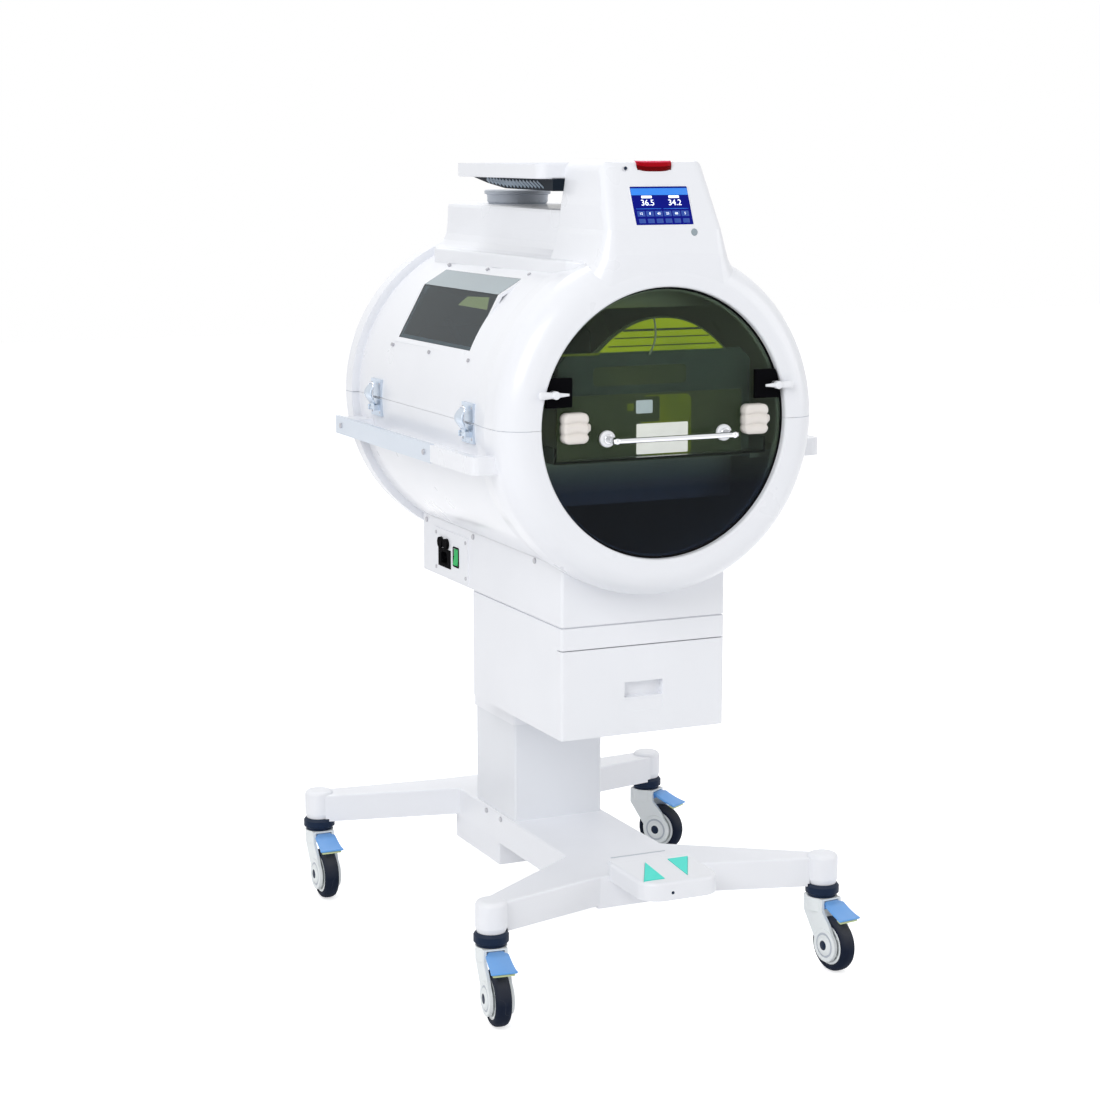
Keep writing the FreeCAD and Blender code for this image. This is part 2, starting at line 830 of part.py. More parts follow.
def drum_solid():
    """The outer form of the drum: front ring, slightly tapered barrel, groove and rear rim."""
    body = new_body("drum_outside")
    turn(body, [
        ("0", "-ring_front"), ("ring_radius", "-ring_front"), ("ring_radius", "-ring_rear"),
        ("barrel_front_radius", "-ring_blend"), ("barrel_rear_radius", "rim_front - rim_groove"),
        ("rim_groove_radius", "rim_front - rim_groove"), ("rim_groove_radius", "rim_front"),
        ("rim_radius", "rim_front"), ("rim_radius", "rim_rear"), ("0", "rim_rear"),
    ], role="XY_Plane")
    round_edges(body, "ring_round", lambda edge: lies_at(edge, 1, "-ring_front") and edge.Length > 1)
    round_edges(body, "rim_round", lambda edge: lies_at(edge, 1, "rim_rear") and edge.Length > 1)
    return place(body, z="drum_z")


def drum_hollow():
    """The space inside the drum, with the door's seat behind the round opening."""
    body = new_body("drum_inside")
    turn(body, [("0", "-ring_front - 1"), ("opening_radius + opening_round", "-ring_front - 1")] + opening_curve() + [
        ("opening_radius", "-lip_front"), ("lip_radius", "-lip_front"),
        ("lip_radius", "-lip_front + lip_thickness"),
        ("ring_radius - 3 * drum_wall", "-lip_front + lip_thickness"),
        ("ring_radius - 2 * drum_wall", "-ring_rear"), ("barrel_front_radius - drum_wall", "-ring_blend"),
        ("rim_groove_radius - drum_wall", "rim_front - 4 * rim_groove"),
        ("rim_groove_radius - drum_wall", "rim_rear - drum_wall"), ("0", "rim_rear - drum_wall"),
    ], role="XY_Plane")
    return place(body, z="drum_z")


def half_space(name, low, high):
    return block(name, "-2 * rim_radius", "2 * rim_radius", "-2 * ring_front", "2 * ring_front", low, high)


def window_lines():
    """Unit vectors along and into the window's lower and upper planes."""
    low = V(-number("window_low_x"), number("window_low_z"), 0)
    crease = V(-number("window_crease_x"), number("window_crease_z"), 0)
    top = V(-number("window_top_x"), number("window_top_z"), 0)
    lower = (crease - low).normalize()
    upper = (top - crease).normalize()
    return lower, V(lower.y, -lower.x, 0), upper, V(upper.y, -upper.x, 0)


def window_outline(out, depth, stretch):
    """The bent pane's section, reaching out and in from its outer face and past both ends."""
    lower, lower_in, upper, upper_in = window_lines()
    bend = (lower_in + upper_in) * (1 / (1 + lower_in.dot(upper_in)))
    ends = [("window_low", lower * -1, lower_in), ("window_crease", V(0, 0, 0), bend),
            ("window_top", upper, upper_in)]
    outline = []
    for order, move in ((ends, f"-({out})"), (ends[::-1], depth)):
        for name, along, inward in order:
            outline.append((f"-{name}_x + ({stretch}) * {along.x:.5f} + ({move}) * {inward.x:.5f}",
                            f"{name}_z + ({stretch}) * {along.y:.5f} + ({move}) * {inward.y:.5f}"))
    return outline


def window_prism(name, out, depth, stretch, overhang):
    body = new_body(name)
    pad(body, "XZ_Plane", f"-window_front - ({overhang})", f"window_rear + ({overhang})",
        window_outline(out, depth, stretch))
    return body


def build_drum():
    outside, inside = drum_solid(), drum_hollow()
    shell = cut("drum_shell", outside, inside)
    below = half_space("below_parting", "housing_low", "drum_z - seam")
    node(common("drum_lower_half", shell, below), "lower_shell")
    above = half_space("above_parting", "drum_z + seam", "head_top")
    upper = common("drum_upper_half", shell, above)
    framed = fuse("drum_with_window_frame", upper, window_prism("window_frame", "0", "drum_wall", "window_frame", "window_frame"))
    seated = cut("drum_with_window_seat", framed, window_prism("window_seat", "4 * pane_thickness", "pane_thickness", "0", "0"))
    node(cut("drum_with_window", seated,
             window_prism("window_opening", "0", "6 * pane_thickness", "-window_step", "-window_step")), "upper_shell")
    node(window_prism("window_pane", "0", "pane_thickness", "0", "0"), "window_pane")
    return outside, inside


# Housing, lifting sleeve, cabinet and drawer

def panel_holes():
    """What the mains inlet, the fuse holders and the rocker switch take out of the wall."""
    start, end = "-housing_half - 2 * panel_thickness", "-housing_half + housing_wall + 1"
    inlet = block("inlet_hole", start, end, "inlet_y - inlet_half_width", "inlet_y + inlet_half_width",
                  "inlet_z - inlet_half_height", "inlet_z + inlet_half_height")
    rocker = block("rocker_hole", start, end,
                   "rocker_y - rocker_half_width - seam", "rocker_y + rocker_half_width + seam",
                   "rocker_z - rocker_half_height - 1.7", "rocker_z + rocker_half_height + 1.7")
    pins = block("pin_notch", start, end, "rocker_y - rocker_half_width - rocker_pin_length - seam",
                 "rocker_y + rocker_half_width + rocker_pin_length + seam",
                 "rocker_z - rocker_pin_radius - seam", "rocker_z + rocker_pin_radius + seam")
    fuses = [rod("fuse_hole", "x", start, y, "fuse_z", "fuse_radius - 3", f"({end}) - ({start})")
             for y in ("fuse_rear_y", "fuse_front_y")]
    return fuse("panel_holes", inlet, rocker, pins, *fuses)


def lower_housing(outside, holes):
    body = new_body("housing_box")
    outline = rectangle("-housing_half", "housing_half", "-housing_front", "housing_rear")
    pad(body, "XY_Plane", "housing_low", "housing_top", outline)
    round_edges(body, "housing_round", lambda edge: runs_along(edge, 2))
    half, wall = "housing_half - housing_wall", "housing_wall"
    pocket(body, "XY_Plane", "housing_low + housing_wall", "housing_top",
           rectangle(f"-({half})", half,
                     f"-housing_front + {wall}", f"housing_rear - {wall}"))
    pocket(body, "XY_Plane", "housing_low", "housing_low + housing_wall", column_outline("slide_gap"))
    node(cut("housing_with_holes", cut("housing_under_drum", body, outside), holes), "lower_housing")


def drawer_cabinet():
    body = new_body("drawer_cabinet")
    top = "housing_low - groove"
    front = "-housing_front + drawer_front_thickness + seam"
    inner = "housing_half - cabinet_wall"
    pad(body, "XY_Plane", "cabinet_low", top, rectangle("-housing_half", "housing_half", "-housing_front", "cabinet_rear"))
    round_edges(body, "housing_round", lambda edge: runs_along(edge, 2))
    pad(body, "XY_Plane", top, "housing_low",
        rectangle("-housing_half + groove_depth", "housing_half - groove_depth",
                  "-housing_front + groove_depth", "cabinet_rear - groove_depth"))
    pocket(body, "XY_Plane", "cabinet_low", "fascia_low",
           rectangle("-housing_half - 1", "housing_half + 1", "-housing_front - 1", front))
    back = "column_front - slide_gap - sleeve_wall - cabinet_wall"
    pocket(body, "XY_Plane", "cabinet_low + cabinet_wall", f"{top} - cabinet_wall",
           [(f"-({inner})", front), (inner, front), (inner, "cabinet_rear - cabinet_wall"),
            ("column_half + slide_gap + sleeve_wall + cabinet_wall", "cabinet_rear - cabinet_wall"),
            ("column_half + slide_gap + sleeve_wall + cabinet_wall", back),
            ("-column_half - slide_gap - sleeve_wall - cabinet_wall", back),
            ("-column_half - slide_gap - sleeve_wall - cabinet_wall", "cabinet_rear - cabinet_wall"),
            (f"-({inner})", "cabinet_rear - cabinet_wall")])
    pocket(body, "XY_Plane", "cabinet_low", "housing_low", column_outline("slide_gap + sleeve_wall"))
    node(body, "drawer_cabinet")


def drawer():
    body = new_body("drawer")
    back = "-housing_front + drawer_front_thickness"
    low = "cabinet_low + 2 * cabinet_wall"
    pad(body, "XY_Plane", "cabinet_low", "fascia_low - fascia_gap",
        rectangle("-housing_half", "housing_half", "-housing_front", back))
    round_edges(body, "housing_round", lambda edge: runs_along(edge, 2) and edge.BoundBox.YMax < number("-housing_front") + 1)
    pad(body, "XY_Plane", low, "drawer_rim",
        rectangle("-housing_half + drawer_side", "housing_half - drawer_side", back, f"{back} + drawer_depth"))
    pocket(body, "XY_Plane", f"{low} + drawer_wall", "drawer_rim",
           rectangle("-housing_half + drawer_side + drawer_wall", "housing_half - drawer_side - drawer_wall",
                     back, f"{back} + drawer_depth - drawer_wall"))
    for side in (-1, 1):
        pad(body, "XY_Plane", "runner_low", "runner_low + runner_height",
            rectangle(f"{side} * (housing_half - drawer_side)", f"{side} * (housing_half - cabinet_wall - slide_gap)",
                      back, f"{back} + drawer_depth"))
    pocket(body, "XZ_Plane", "-housing_front", "-housing_front + pull_depth",
           rectangle("-pull_half", "pull_half", "pull_low", "pull_high"))
    pocket(body, "XZ_Plane", "-housing_front", "-housing_front + plate_depth",
           rectangle("-pull_half", "pull_half", "plate_low", "plate_high"))
    node(body, "drawer")


def power_panel(holes):
    plate = block("panel_plate", "-housing_half - panel_thickness", "-housing_half",
                  "panel_front", "panel_rear", "panel_low", "panel_high")
    frame = block("rocker_frame_block", "-housing_half - panel_thickness - 1.5", "-housing_half - panel_thickness",
                  "rocker_y - rocker_half_width - rocker_frame", "rocker_y + rocker_half_width + rocker_frame",
                  "rocker_z - rocker_half_height - rocker_frame", "rocker_z + rocker_half_height + rocker_frame")
    node(cut("panel_with_holes", fuse("panel_and_frame", plate, frame), holes), "power_panel")


def power_inlet():
    """The sunk mains inlet with its three blades, and the two fuse holders above it."""
    body = new_body("inlet_body")
    face = "-housing_half - panel_thickness"
    pad(body, "YZ_Plane", face, f"{face} + inlet_depth",
        rectangle("inlet_y - inlet_half_width", "inlet_y + inlet_half_width",
                  "inlet_z - inlet_half_height", "inlet_z + inlet_half_height"))
    pad(body, "YZ_Plane", f"{face} - 2", face,
        rectangle("inlet_y - inlet_half_width - 3", "inlet_y + inlet_half_width + 3",
                  "inlet_z - inlet_half_height - 2", "inlet_z + inlet_half_height + 2"))
    add_socket(body, face)
    caps = [rod("fuse_cap", "x", f"{face} - 6", y, "fuse_z", "fuse_radius", "6") for y in ("fuse_rear_y", "fuse_front_y")]
    node(group("inlet_and_fuses", body, *caps), "power_inlet")


def add_socket(body, face):
    """The plug's recess and the three blades that stand in it."""
    sketch = new_sketch(body, "YZ_Plane", f"{face} - 2")
    draw(sketch, [[("inlet_y - inlet_half_width + 12", "inlet_z - inlet_half_height + 4"),
                   ("inlet_y + inlet_half_width - 12", "inlet_z - inlet_half_height + 4"),
                   ("inlet_y + inlet_half_width - 12", "inlet_z + inlet_half_height - 9"),
                   ("inlet_y + inlet_half_width - 17", "inlet_z + inlet_half_height - 4"),
                   ("inlet_y - inlet_half_width + 17", "inlet_z + inlet_half_height - 4"),
                   ("inlet_y - inlet_half_width + 12", "inlet_z + inlet_half_height - 9")]])
    recess = add_feature(body, "Pocket", Profile=sketch, Reversed=True)
    recess.setExpression("Length", formula("inlet_depth - 2"))
    for across, up in (("-7", "-1"), ("0", "3"), ("7", "-1")):
        pad(body, "YZ_Plane", f"{face} + 3", f"{face} + inlet_depth",
            rectangle(f"inlet_y + {across} - 1", f"inlet_y + {across} + 1", f"inlet_z + {up} - 2", f"inlet_z + {up} + 2"))


def rocker_switch():
    """A rocker whose upper half is pressed in, turning about Y in the panel's wall."""
    body = new_body("rocker_switch")
    face = "housing_half + panel_thickness"
    pad(body, "XZ_Plane", "rocker_y - rocker_half_width", "rocker_y + rocker_half_width",
        [(f"-({face}) - 1", "rocker_z + rocker_half_height"), (f"-({face}) - 1.5", "rocker_z"),
         (f"-({face}) - 1 - rocker_proud", "rocker_z - rocker_half_height"),
         ("-housing_half + 1", "rocker_z - rocker_half_height + 1.5"),
         ("-housing_half + 4", "rocker_z"), ("-housing_half + 1", "rocker_z + rocker_half_height - 1.5")])
    pad(body, "XZ_Plane", "rocker_y - rocker_half_width - rocker_pin_length",
        "rocker_y + rocker_half_width + rocker_pin_length", ("-housing_half", "rocker_z", "rocker_pin_radius"))
    node(body, "rocker_switch")


def screw_heads():
    """Heads of the housing, panel and rail screws on the outside."""
    heads = []
    for side in (-1, 1):
        for y in ("-housing_front + screw_inset_front", "screw_middle_y", "housing_rear - screw_inset_rear"):
            start = "housing_half" if side == 1 else "-housing_half - screw_height"
            heads.append(rod("housing_screw", "x", start, y, "screw_z", "screw_radius", "screw_height"))
        for y in ("-rail_front + arm_tongue / 2", "rail_rear - rail_end"):
            start = "rail_x" if side == 1 else "-rail_x - screw_height"
            heads.append(rod("rail_screw", "x", start, y, "(rail_low + rail_high) / 2", "screw_radius", "screw_height"))
    for y in ("panel_front + panel_inset", "panel_rear - panel_inset"):
        for z in ("panel_low + panel_inset", "panel_high - panel_inset"):
            heads.append(rod("panel_screw", "x", "-housing_half - panel_thickness - small_screw_height", y, z,
                             "small_screw_radius", "small_screw_height"))
    node(group("body_screw_set", *heads), "body_screws")


# Rails, latches and hinges on the drum's sides

def rail_arm_outline(side):
    """The front arm seen from above, turning from the rail's end into the drum."""
    reach = [(0, "-rail_front"), (0, "-arm_front + 14"), (1.5, "-arm_front + 8"), (5, "-arm_front + 3.5"),
             (10, "-arm_front + 1"), (18, "-arm_front - 0.5"), (75, "-arm_front - 6"),
             (75, "-arm_front + 12"), (32, "-arm_front + 16"), (24, "-arm_front + 18"), (19, "-arm_front + 22"),
             (16, "-arm_front + 28")]
    outline = [(f"{side} * (rail_x - {back})", y) for back, y in reach]
    tongue = [("rail_x - rail_thickness - 7", "-rail_front + arm_tongue"),
              ("rail_x - rail_thickness", "-rail_front + arm_tongue"), ("rail_x - rail_thickness", "-rail_front")]
    return outline + [(f"{side} * ({x})", y) for x, y in tongue]


def rails(outside):
    bars, arms = [], []
    for side in (-1, 1):
        low = "-rail_x" if side == -1 else "rail_x - rail_thickness"
        high = "-rail_x + rail_thickness" if side == -1 else "rail_x"
        bars.append(block("rail_bar", low, high, "-rail_front", "rail_rear", "rail_low", "rail_high"))
        arm = new_body("rail_front_arm")
        pad(arm, "XY_Plane", "arm_under", "arm_under + arm_height", rail_arm_outline(side))
        arms.append(arm)
        near = "-rail_x + rail_thickness" if side == -1 else "rail_x - rail_thickness - 50"
        far = "-rail_x + rail_thickness + 50" if side == -1 else "rail_x - rail_thickness"
        arms.append(block("rail_rear_arm", near, far, "rail_rear - 2 * rail_end - 20", "rail_rear - rail_end + 15",
                          "arm_under", "arm_under + arm_height"))
    node(group("rail_set", *bars), "side_rails")
    node(cut("rail_arm_set", group("rail_arm_blanks", *arms), outside), "rail_arms")


LATCHES = {"front": ("-latch_front_y", "barrel_front_radius"), "rear": ("latch_rear_y", "latch_rear_radius")}


def latches(outside):
    """Draw latches on the left: a fixed plate on each shell and a lever on the lower one."""
    hooks, keepers = [], []
    for name, (y, radius) in LATCHES.items():
        face = f"-{radius} - latch_plate"
        pin_x = f"-{radius} - latch_plate - latch_knuckle - slide_gap"
        hook = new_body("latch_hook_" + name)
        pad(hook, "XY_Plane", "drum_z + 2", "drum_z + 2 + latch_span",
            rectangle(face, "-rim_groove_radius", f"{y} - latch_half", f"{y} + latch_half"))
        hooks.append(hook)
        keeper = new_body("latch_keeper_" + name)
        pad(keeper, "XY_Plane", "drum_z - 2 - latch_span", "drum_z - 2",
            rectangle(face, "-rim_groove_radius", f"{y} - latch_half", f"{y} + latch_half"))
        keepers.append(keeper)
        for side in (-1, 1):
            ear = rectangle(f"{pin_x} - latch_knuckle", face,
                            f"{y} + {side} * (latch_half / 2 - 2)", f"{y} + {side} * (latch_half / 2 + 4)")
            pad(keeper, "XY_Plane", "latch_pin_z - latch_knuckle", "latch_pin_z + latch_knuckle", ear)
        pad(keeper, "XZ_Plane", f"{y} - latch_half / 2", f"{y} + latch_half / 2", (pin_x, "latch_pin_z", "latch_pin_radius"))
        latch_lever(name, y, face, pin_x)
    node(cut("latch_hook_set", group("latch_hook_blanks", *hooks), outside), "latch_hooks")
    node(cut("latch_keeper_set", group("latch_keeper_blanks", *keepers), outside), "latch_keepers")


def latch_lever(name, y, face, pin_x):
    """The lever swings outwards and down about its pin."""
    body = new_body("latch_lever_" + name)
    barrel = "latch_half / 2 - 2 - slide_gap"
    pad(body, "XZ_Plane", f"{y} - ({barrel})", f"{y} + ({barrel})", (pin_x, "latch_pin_z", "latch_knuckle"))
    pad(body, "XZ_Plane", f"{y} - ({barrel})", f"{y} + ({barrel})",
        rectangle(f"{pin_x} - 3", pin_x, "latch_pin_z", "latch_pin_z + latch_knuckle + latch_step + 1"))
    pad(body, "XZ_Plane", f"{y} - latch_lever_half", f"{y} + latch_lever_half",
        [(f"{pin_x} - 3", "latch_pin_z + latch_knuckle + latch_step"), (pin_x, "latch_pin_z + latch_knuckle + latch_step"),
         (pin_x, "drum_z + latch_span / 2"), (f"{face} - slide_gap", "drum_z + latch_span / 2 + 3"),
         (f"{face} - slide_gap", "drum_z + latch_span - 5"), (f"{pin_x} - 3", "drum_z + latch_span - 5")])
    pocket(body, "XZ_Plane", f"{y} - latch_half", f"{y} + latch_half",
           (pin_x, "latch_pin_z", "latch_pin_radius + running_fit"))
    node(body, "latch_lever_" + name)


def hinges(outside):
    """Two butt hinges on the right carry the canopy about an axis clear of the rear rim."""
    lower, upper = [], []
    for side in (-1, 1):
        y = f"{side} * hinge_y"
        leaf_face = "barrel_front_radius + latch_plate"
        fixed = new_body("hinge_leaf_fixed")
        pad(fixed, "XY_Plane", "drum_z - seam - hinge_leaf", "drum_z - seam",
            rectangle("rim_groove_radius", leaf_face, f"{y} - hinge_half", f"{y} + hinge_half"))
        moving = new_body("hinge_leaf_moving")
        pad(moving, "XY_Plane", "drum_z + seam", "drum_z + seam + hinge_leaf",
            rectangle("rim_groove_radius", leaf_face, f"{y} - hinge_half", f"{y} + hinge_half"))
        for end in (-1, 1):
            low, high = sorted((f"{y} + {end} * hinge_half / 3", f"{y} + {end} * hinge_half"), key=number)
            pad(fixed, "XY_Plane", "drum_z - hinge_knuckle", "drum_z - seam", rectangle(leaf_face, "hinge_x", low, high))
            pad(fixed, "XZ_Plane", low, high, ("hinge_x", "drum_z", "hinge_knuckle"))
        pad(fixed, "XZ_Plane", f"{y} - hinge_half", f"{y} + hinge_half", ("hinge_x", "drum_z", "hinge_pin_radius"))
        low, high = f"{y} - hinge_half / 3 + slide_gap", f"{y} + hinge_half / 3 - slide_gap"
        pad(moving, "XY_Plane", "drum_z + seam", "drum_z + hinge_knuckle", rectangle(leaf_face, "hinge_x", low, high))
        pad(moving, "XZ_Plane", low, high, ("hinge_x", "drum_z", "hinge_knuckle"))
        pocket(moving, "XZ_Plane", low, high, ("hinge_x", "drum_z", "hinge_pin_radius + running_fit"))
        lower.append(fixed)
        upper.append(moving)
    node(cut("hinge_lower_set", group("hinge_lower_blanks", *lower), outside), "hinge_lower")
    node(cut("hinge_upper_set", group("hinge_upper_blanks", *upper), outside), "hinge_upper")


# Top housing, head, screen, tray and vent

def spline(points):
    curve = Part.BSplineCurve()
    curve.interpolate([V(*point) for point in points])
    return curve.toShape()


def head_front():
    """The head seen from the front: rounded shoulders and sides that flare into the ring."""
    top, half, foot = number("head_top"), number("head_half"), number("head_foot_x")
    foot_z = number("drum_z") + math.sqrt(number("ring_radius") ** 2 - foot ** 2)
    low = number("drum_z") + number("opening_radius")
    side = [(foot, 0, foot_z - 2), (foot - 8, 0, foot_z + 9), (half + 19, 0, foot_z + 24),
            (half + 13, 0, foot_z + 50), (half + 8, 0, foot_z + 90), (half + 2, 0, top - 50),
            (half - 1, 0, top - 20)]
    shoulder = [V(half - 1, 0, top - 20), V(half - 8, 0, top - 5), V(half - 23, 0, top)]
    mirror = [(-x, y, z) for x, y, z in reversed(side)]
    edges = [
        Part.makeLine(V(foot, 0, low), V(*side[0])),
        spline(side),
        Part.Arc(*shoulder).toShape(),
        Part.makeLine(shoulder[2], V(-shoulder[2].x, 0, top)),
        Part.Arc(*[V(-spot.x, 0, spot.z) for spot in reversed(shoulder)]).toShape(),
        spline(mirror),
        Part.makeLine(V(*mirror[-1]), V(-foot, 0, low)),
        Part.makeLine(V(-foot, 0, low), V(foot, 0, low)),
    ]
    face = Part.Face(Part.Wire(edges))
    face.translate(V(0, -number("ring_front"), 0))
    return face.extrude(V(0, number("ring_front") - number("head_rear"), 0))


def head_side():
    """The head seen from the side: an upright back and a sloping face that holds the screen."""
    top, foot = number("head_top"), number("drum_z") + number("opening_radius")
    low, high = number("head_top - screen_drop"), number("head_top - screen_drop + screen_height")
    low_y, high_y = -number("screen_low_y"), -number("screen_high_y")
    lean = (high_y - low_y) / (high - low)
    face_low, face_high = low - 8, high + 22
    front = -number("ring_front") + 0.5
    slope_low = V(0, low_y - lean * 8, face_low)
    slope_high = V(0, high_y + lean * 22, face_high)
    crown = V(0, slope_high.y + 22, top)
    back = -number("head_rear")
    edges = [
        Part.makeLine(V(0, front, foot), V(0, front, foot + 32)),
        spline([(0, front, foot + 32), (0, front + 2.2, face_low - 30), tuple(slope_low)]),
        Part.makeLine(slope_low, slope_high),
        Part.Arc(slope_high, V(0, slope_high.y + 7, top - 5), crown).toShape(),
        Part.makeLine(crown, V(0, back, top)),
        Part.makeLine(V(0, back, top), V(0, back, foot)),
        Part.makeLine(V(0, back, foot), V(0, front, foot)),
    ]
    face = Part.Face(Part.Wire(edges))
    face.translate(V(-number("head_half") * 2, 0, 0))
    return face.extrude(V(number("head_half") * 4, 0, 0))


def head_plan(height, front, half, corner):
    """The head's outline at one level: a flat back and rounded front corners."""
    back, turn = -number("head_rear") + 40, corner * (1 - math.sqrt(0.5))
    edges = [Part.makeLine(V(half, back, height), V(half, front + corner, height))]
    edges.append(Part.Arc(V(half, front + corner, height), V(half - turn, front + turn, height),
                          V(half - corner, front, height)).toShape())
    edges.append(Part.makeLine(V(half - corner, front, height), V(corner - half, front, height)))
    edges.append(Part.Arc(V(corner - half, front, height), V(turn - half, front + turn, height),
                          V(-half, front + corner, height)).toShape())
    edges.append(Part.makeLine(V(-half, front + corner, height), V(-half, back, height)))
    edges.append(Part.makeLine(V(-half, back, height), V(half, back, height)))
    return Part.Wire(edges)


def head_corners():
    """Rounds the head's front corners, wide at the ring and closer under the screen."""
    top, half, front = number("head_top"), number("head_half"), -number("ring_front")
    foot = number("drum_z + opening_radius")
    slope = number("screen_low_y - screen_high_y") / number("screen_height")
    knee = top - number("screen_drop") - 8
    brow = -number("screen_low_y") + slope * (top - knee)
    levels = [(foot - 2, front, half + 62, 62), (knee - 50, front, half + 27, 34),
              (knee, -number("screen_low_y") - slope * 8, half + 10, 16), (top + 1, brow, half, 28)]
    return Part.makeLoft([head_plan(*level) for level in levels], True, True)


def screen_block(name, thickness):
    """A slab that lies in the head's sloping face, just below its surface."""
    rise = "screen_height"
    run = "(screen_low_y - screen_high_y)"
    item = doc.addObject("Part::Box", name)
    item.setExpression("Length", formula("2 * screen_half_width"))
    item.setExpression("Width", formula(f"sqrt({rise} ^ 2 + {run} ^ 2)"))
    item.setExpression("Height", formula(thickness))
    depth = "(screen_thickness + screen_inset)"
    lean = f"atan({run} / {rise})"
    return place(item, "-screen_half_width", f"-screen_low_y + {depth} * cos({lean})",
                 f"head_top - screen_drop - {depth} * sin({lean})", V(1, 0, 0), f"90 deg - {lean}")


def alarm_lamp_shape():
    """The lamp wraps the head's top front edge."""
    body = new_body("alarm_lamp")
    pad(body, "YZ_Plane", "-alarm_half", "alarm_half", [
        ("-head_brow - alarm_proud - 4", "head_top - 14"), ("-head_brow - alarm_proud - 2", "head_top - 4"),
        ("-head_brow + 4", "head_top + alarm_proud / 2"), ("-head_brow + alarm_depth - 4", "head_top + alarm_proud / 2"),
        ("-head_brow + alarm_depth", "head_top"), ("-head_brow + alarm_depth", "head_top - 14"),
        ("-head_brow + 6", "head_top - alarm_height")])
    round_edges(body, "alarm_proud + 2", lambda edge: abs(edge.BoundBox.XLength) < 1e-6
                and edge.BoundBox.YMax < -number("head_brow") + 3 and edge.BoundBox.ZMin > number("head_top - 15"))
    return node(body, "alarm_lamp")


def control_head(outside):
    blank = doc.addObject("Part::Feature", "head_blank")
    blank.Shape = head_front().common(head_side()).common(head_corners())
    inner = block("head_space", "-head_half + 18", "head_half - 18", "-head_brow + 20", "-head_rear - hump_wall",
                  "drum_z + opening_radius", "head_top - 20")
    bore = rod("button_bore", "y", "button_x", "-ring_front", "button_z", "button_radius + seam",
               "ring_front - screen_low_y + button_length - button_proud + button_stroke")
    socket = rod("socket_bore", "y", "-socket_x", "-ring_front", "socket_z", "socket_radius",
                 "ring_front - head_brow - 2")
    screen = node(screen_block("screen", "screen_thickness"), "display_screen")
    recess = screen_block("screen_recess", "4 * screen_thickness")
    lamp = alarm_lamp_shape()
    tools = fuse("head_cuts", outside, inner, bore, socket, recess, lamp)
    node(cut("head_cut", blank, tools), "control_head")
    button = rod("mute", "y", "button_x", "-screen_low_y - button_proud - 2.5", "button_z", "button_radius", "button_length")
    node(button, "mute_button")
    return blank


def hump_outline():
    """The top housing's section: steep sides that flare into the ledge."""
    half = [("hump_foot", "ledge_z - 40"), ("hump_foot", "ledge_z - 1"), ("hump_foot - 12", "ledge_z + 4"),
            ("hump_foot - 21", "ledge_z + 13"), ("hump_half + 4", "ledge_z + 26"), ("hump_half + 1.5", "ledge_z + 44"),
            ("hump_half", "hump_top - 7"), ("hump_half - 2", "hump_top - 2"), ("hump_half - 7", "hump_top")]
    return half + [(f"-({x})", z) for x, z in reversed(half)]


def top_housing(outside, head):
    body = new_body("ledge_and_hump")
    pad(body, "XY_Plane", "drum_z + opening_radius", "ledge_z",
        rectangle("-ledge_half", "ledge_half", "-ledge_front", "ledge_rear"))
    round_edges(body, "ledge_half - hump_foot + 7", lambda edge: runs_along(edge, 2))
    round_edges(body, "edge_round", lambda edge: lies_at(edge, 2, "ledge_z"))
    pad(body, "XZ_Plane", "-head_rear - 4", "hump_rear", hump_outline())
    space = block("hump_space", "-hump_half + hump_wall + 4", "hump_half - hump_wall - 4",
                  "-head_rear + 10", "ledge_rear - 20", "drum_z + opening_radius", "hump_top - hump_wall")
    tools = fuse("top_cuts", outside, space, head)
    node(cut("top_housing_cut", body, tools), "top_housing")


def tray():
    body = new_body("tray")
    front = "-head_rear"
    pad(body, "XY_Plane", "tray_rim - tray_depth", "tray_rim", rectangle("-tray_half", "tray_half", front, "tray_rear"))
    round_edges(body, "tray_corner", lambda edge: runs_along(edge, 2))
    pocket(body, "XY_Plane", "tray_rim - tray_depth + tray_wall", "tray_rim",
           rectangle("-tray_half + tray_corner / 2", "tray_half - tray_corner / 2",
                     f"{front} + tray_corner / 2", "tray_rear - tray_corner / 2"))
    round_edges(body, "edge_round", lambda edge: lies_at(edge, 2, "tray_rim - tray_depth") and edge.BoundBox.YMax > number("-head_rear") + 20)
    pad(body, "YZ_Plane", "-arm_half", "arm_half",
        [(front, "tray_rim - tray_depth - arm_drop"), (front, "tray_rim - tray_depth"), ("tray_rear - 60", "tray_rim - tray_depth"), ("tray_rear - 110", "tray_rim - tray_depth - tray_arm_step"),
         (f"{front} + 120", "tray_rim - tray_depth - arm_drop + 3")])
    node(body, "tray")


def vent_box():
    body = turned_at("vent_box", "0", "vent_y", [
        ("0", "hump_top"), ("vent_waist - 3", "hump_top"), ("vent_waist", "hump_top + 3"),
        ("vent_waist + 1", "vent_top - vent_lip"), ("vent_radius", "vent_top - vent_lip + 2"),
        ("vent_radius", "vent_top - 2"), ("vent_radius - 2", "vent_top"), ("0", "vent_top")])
    node(body, "vent_box")


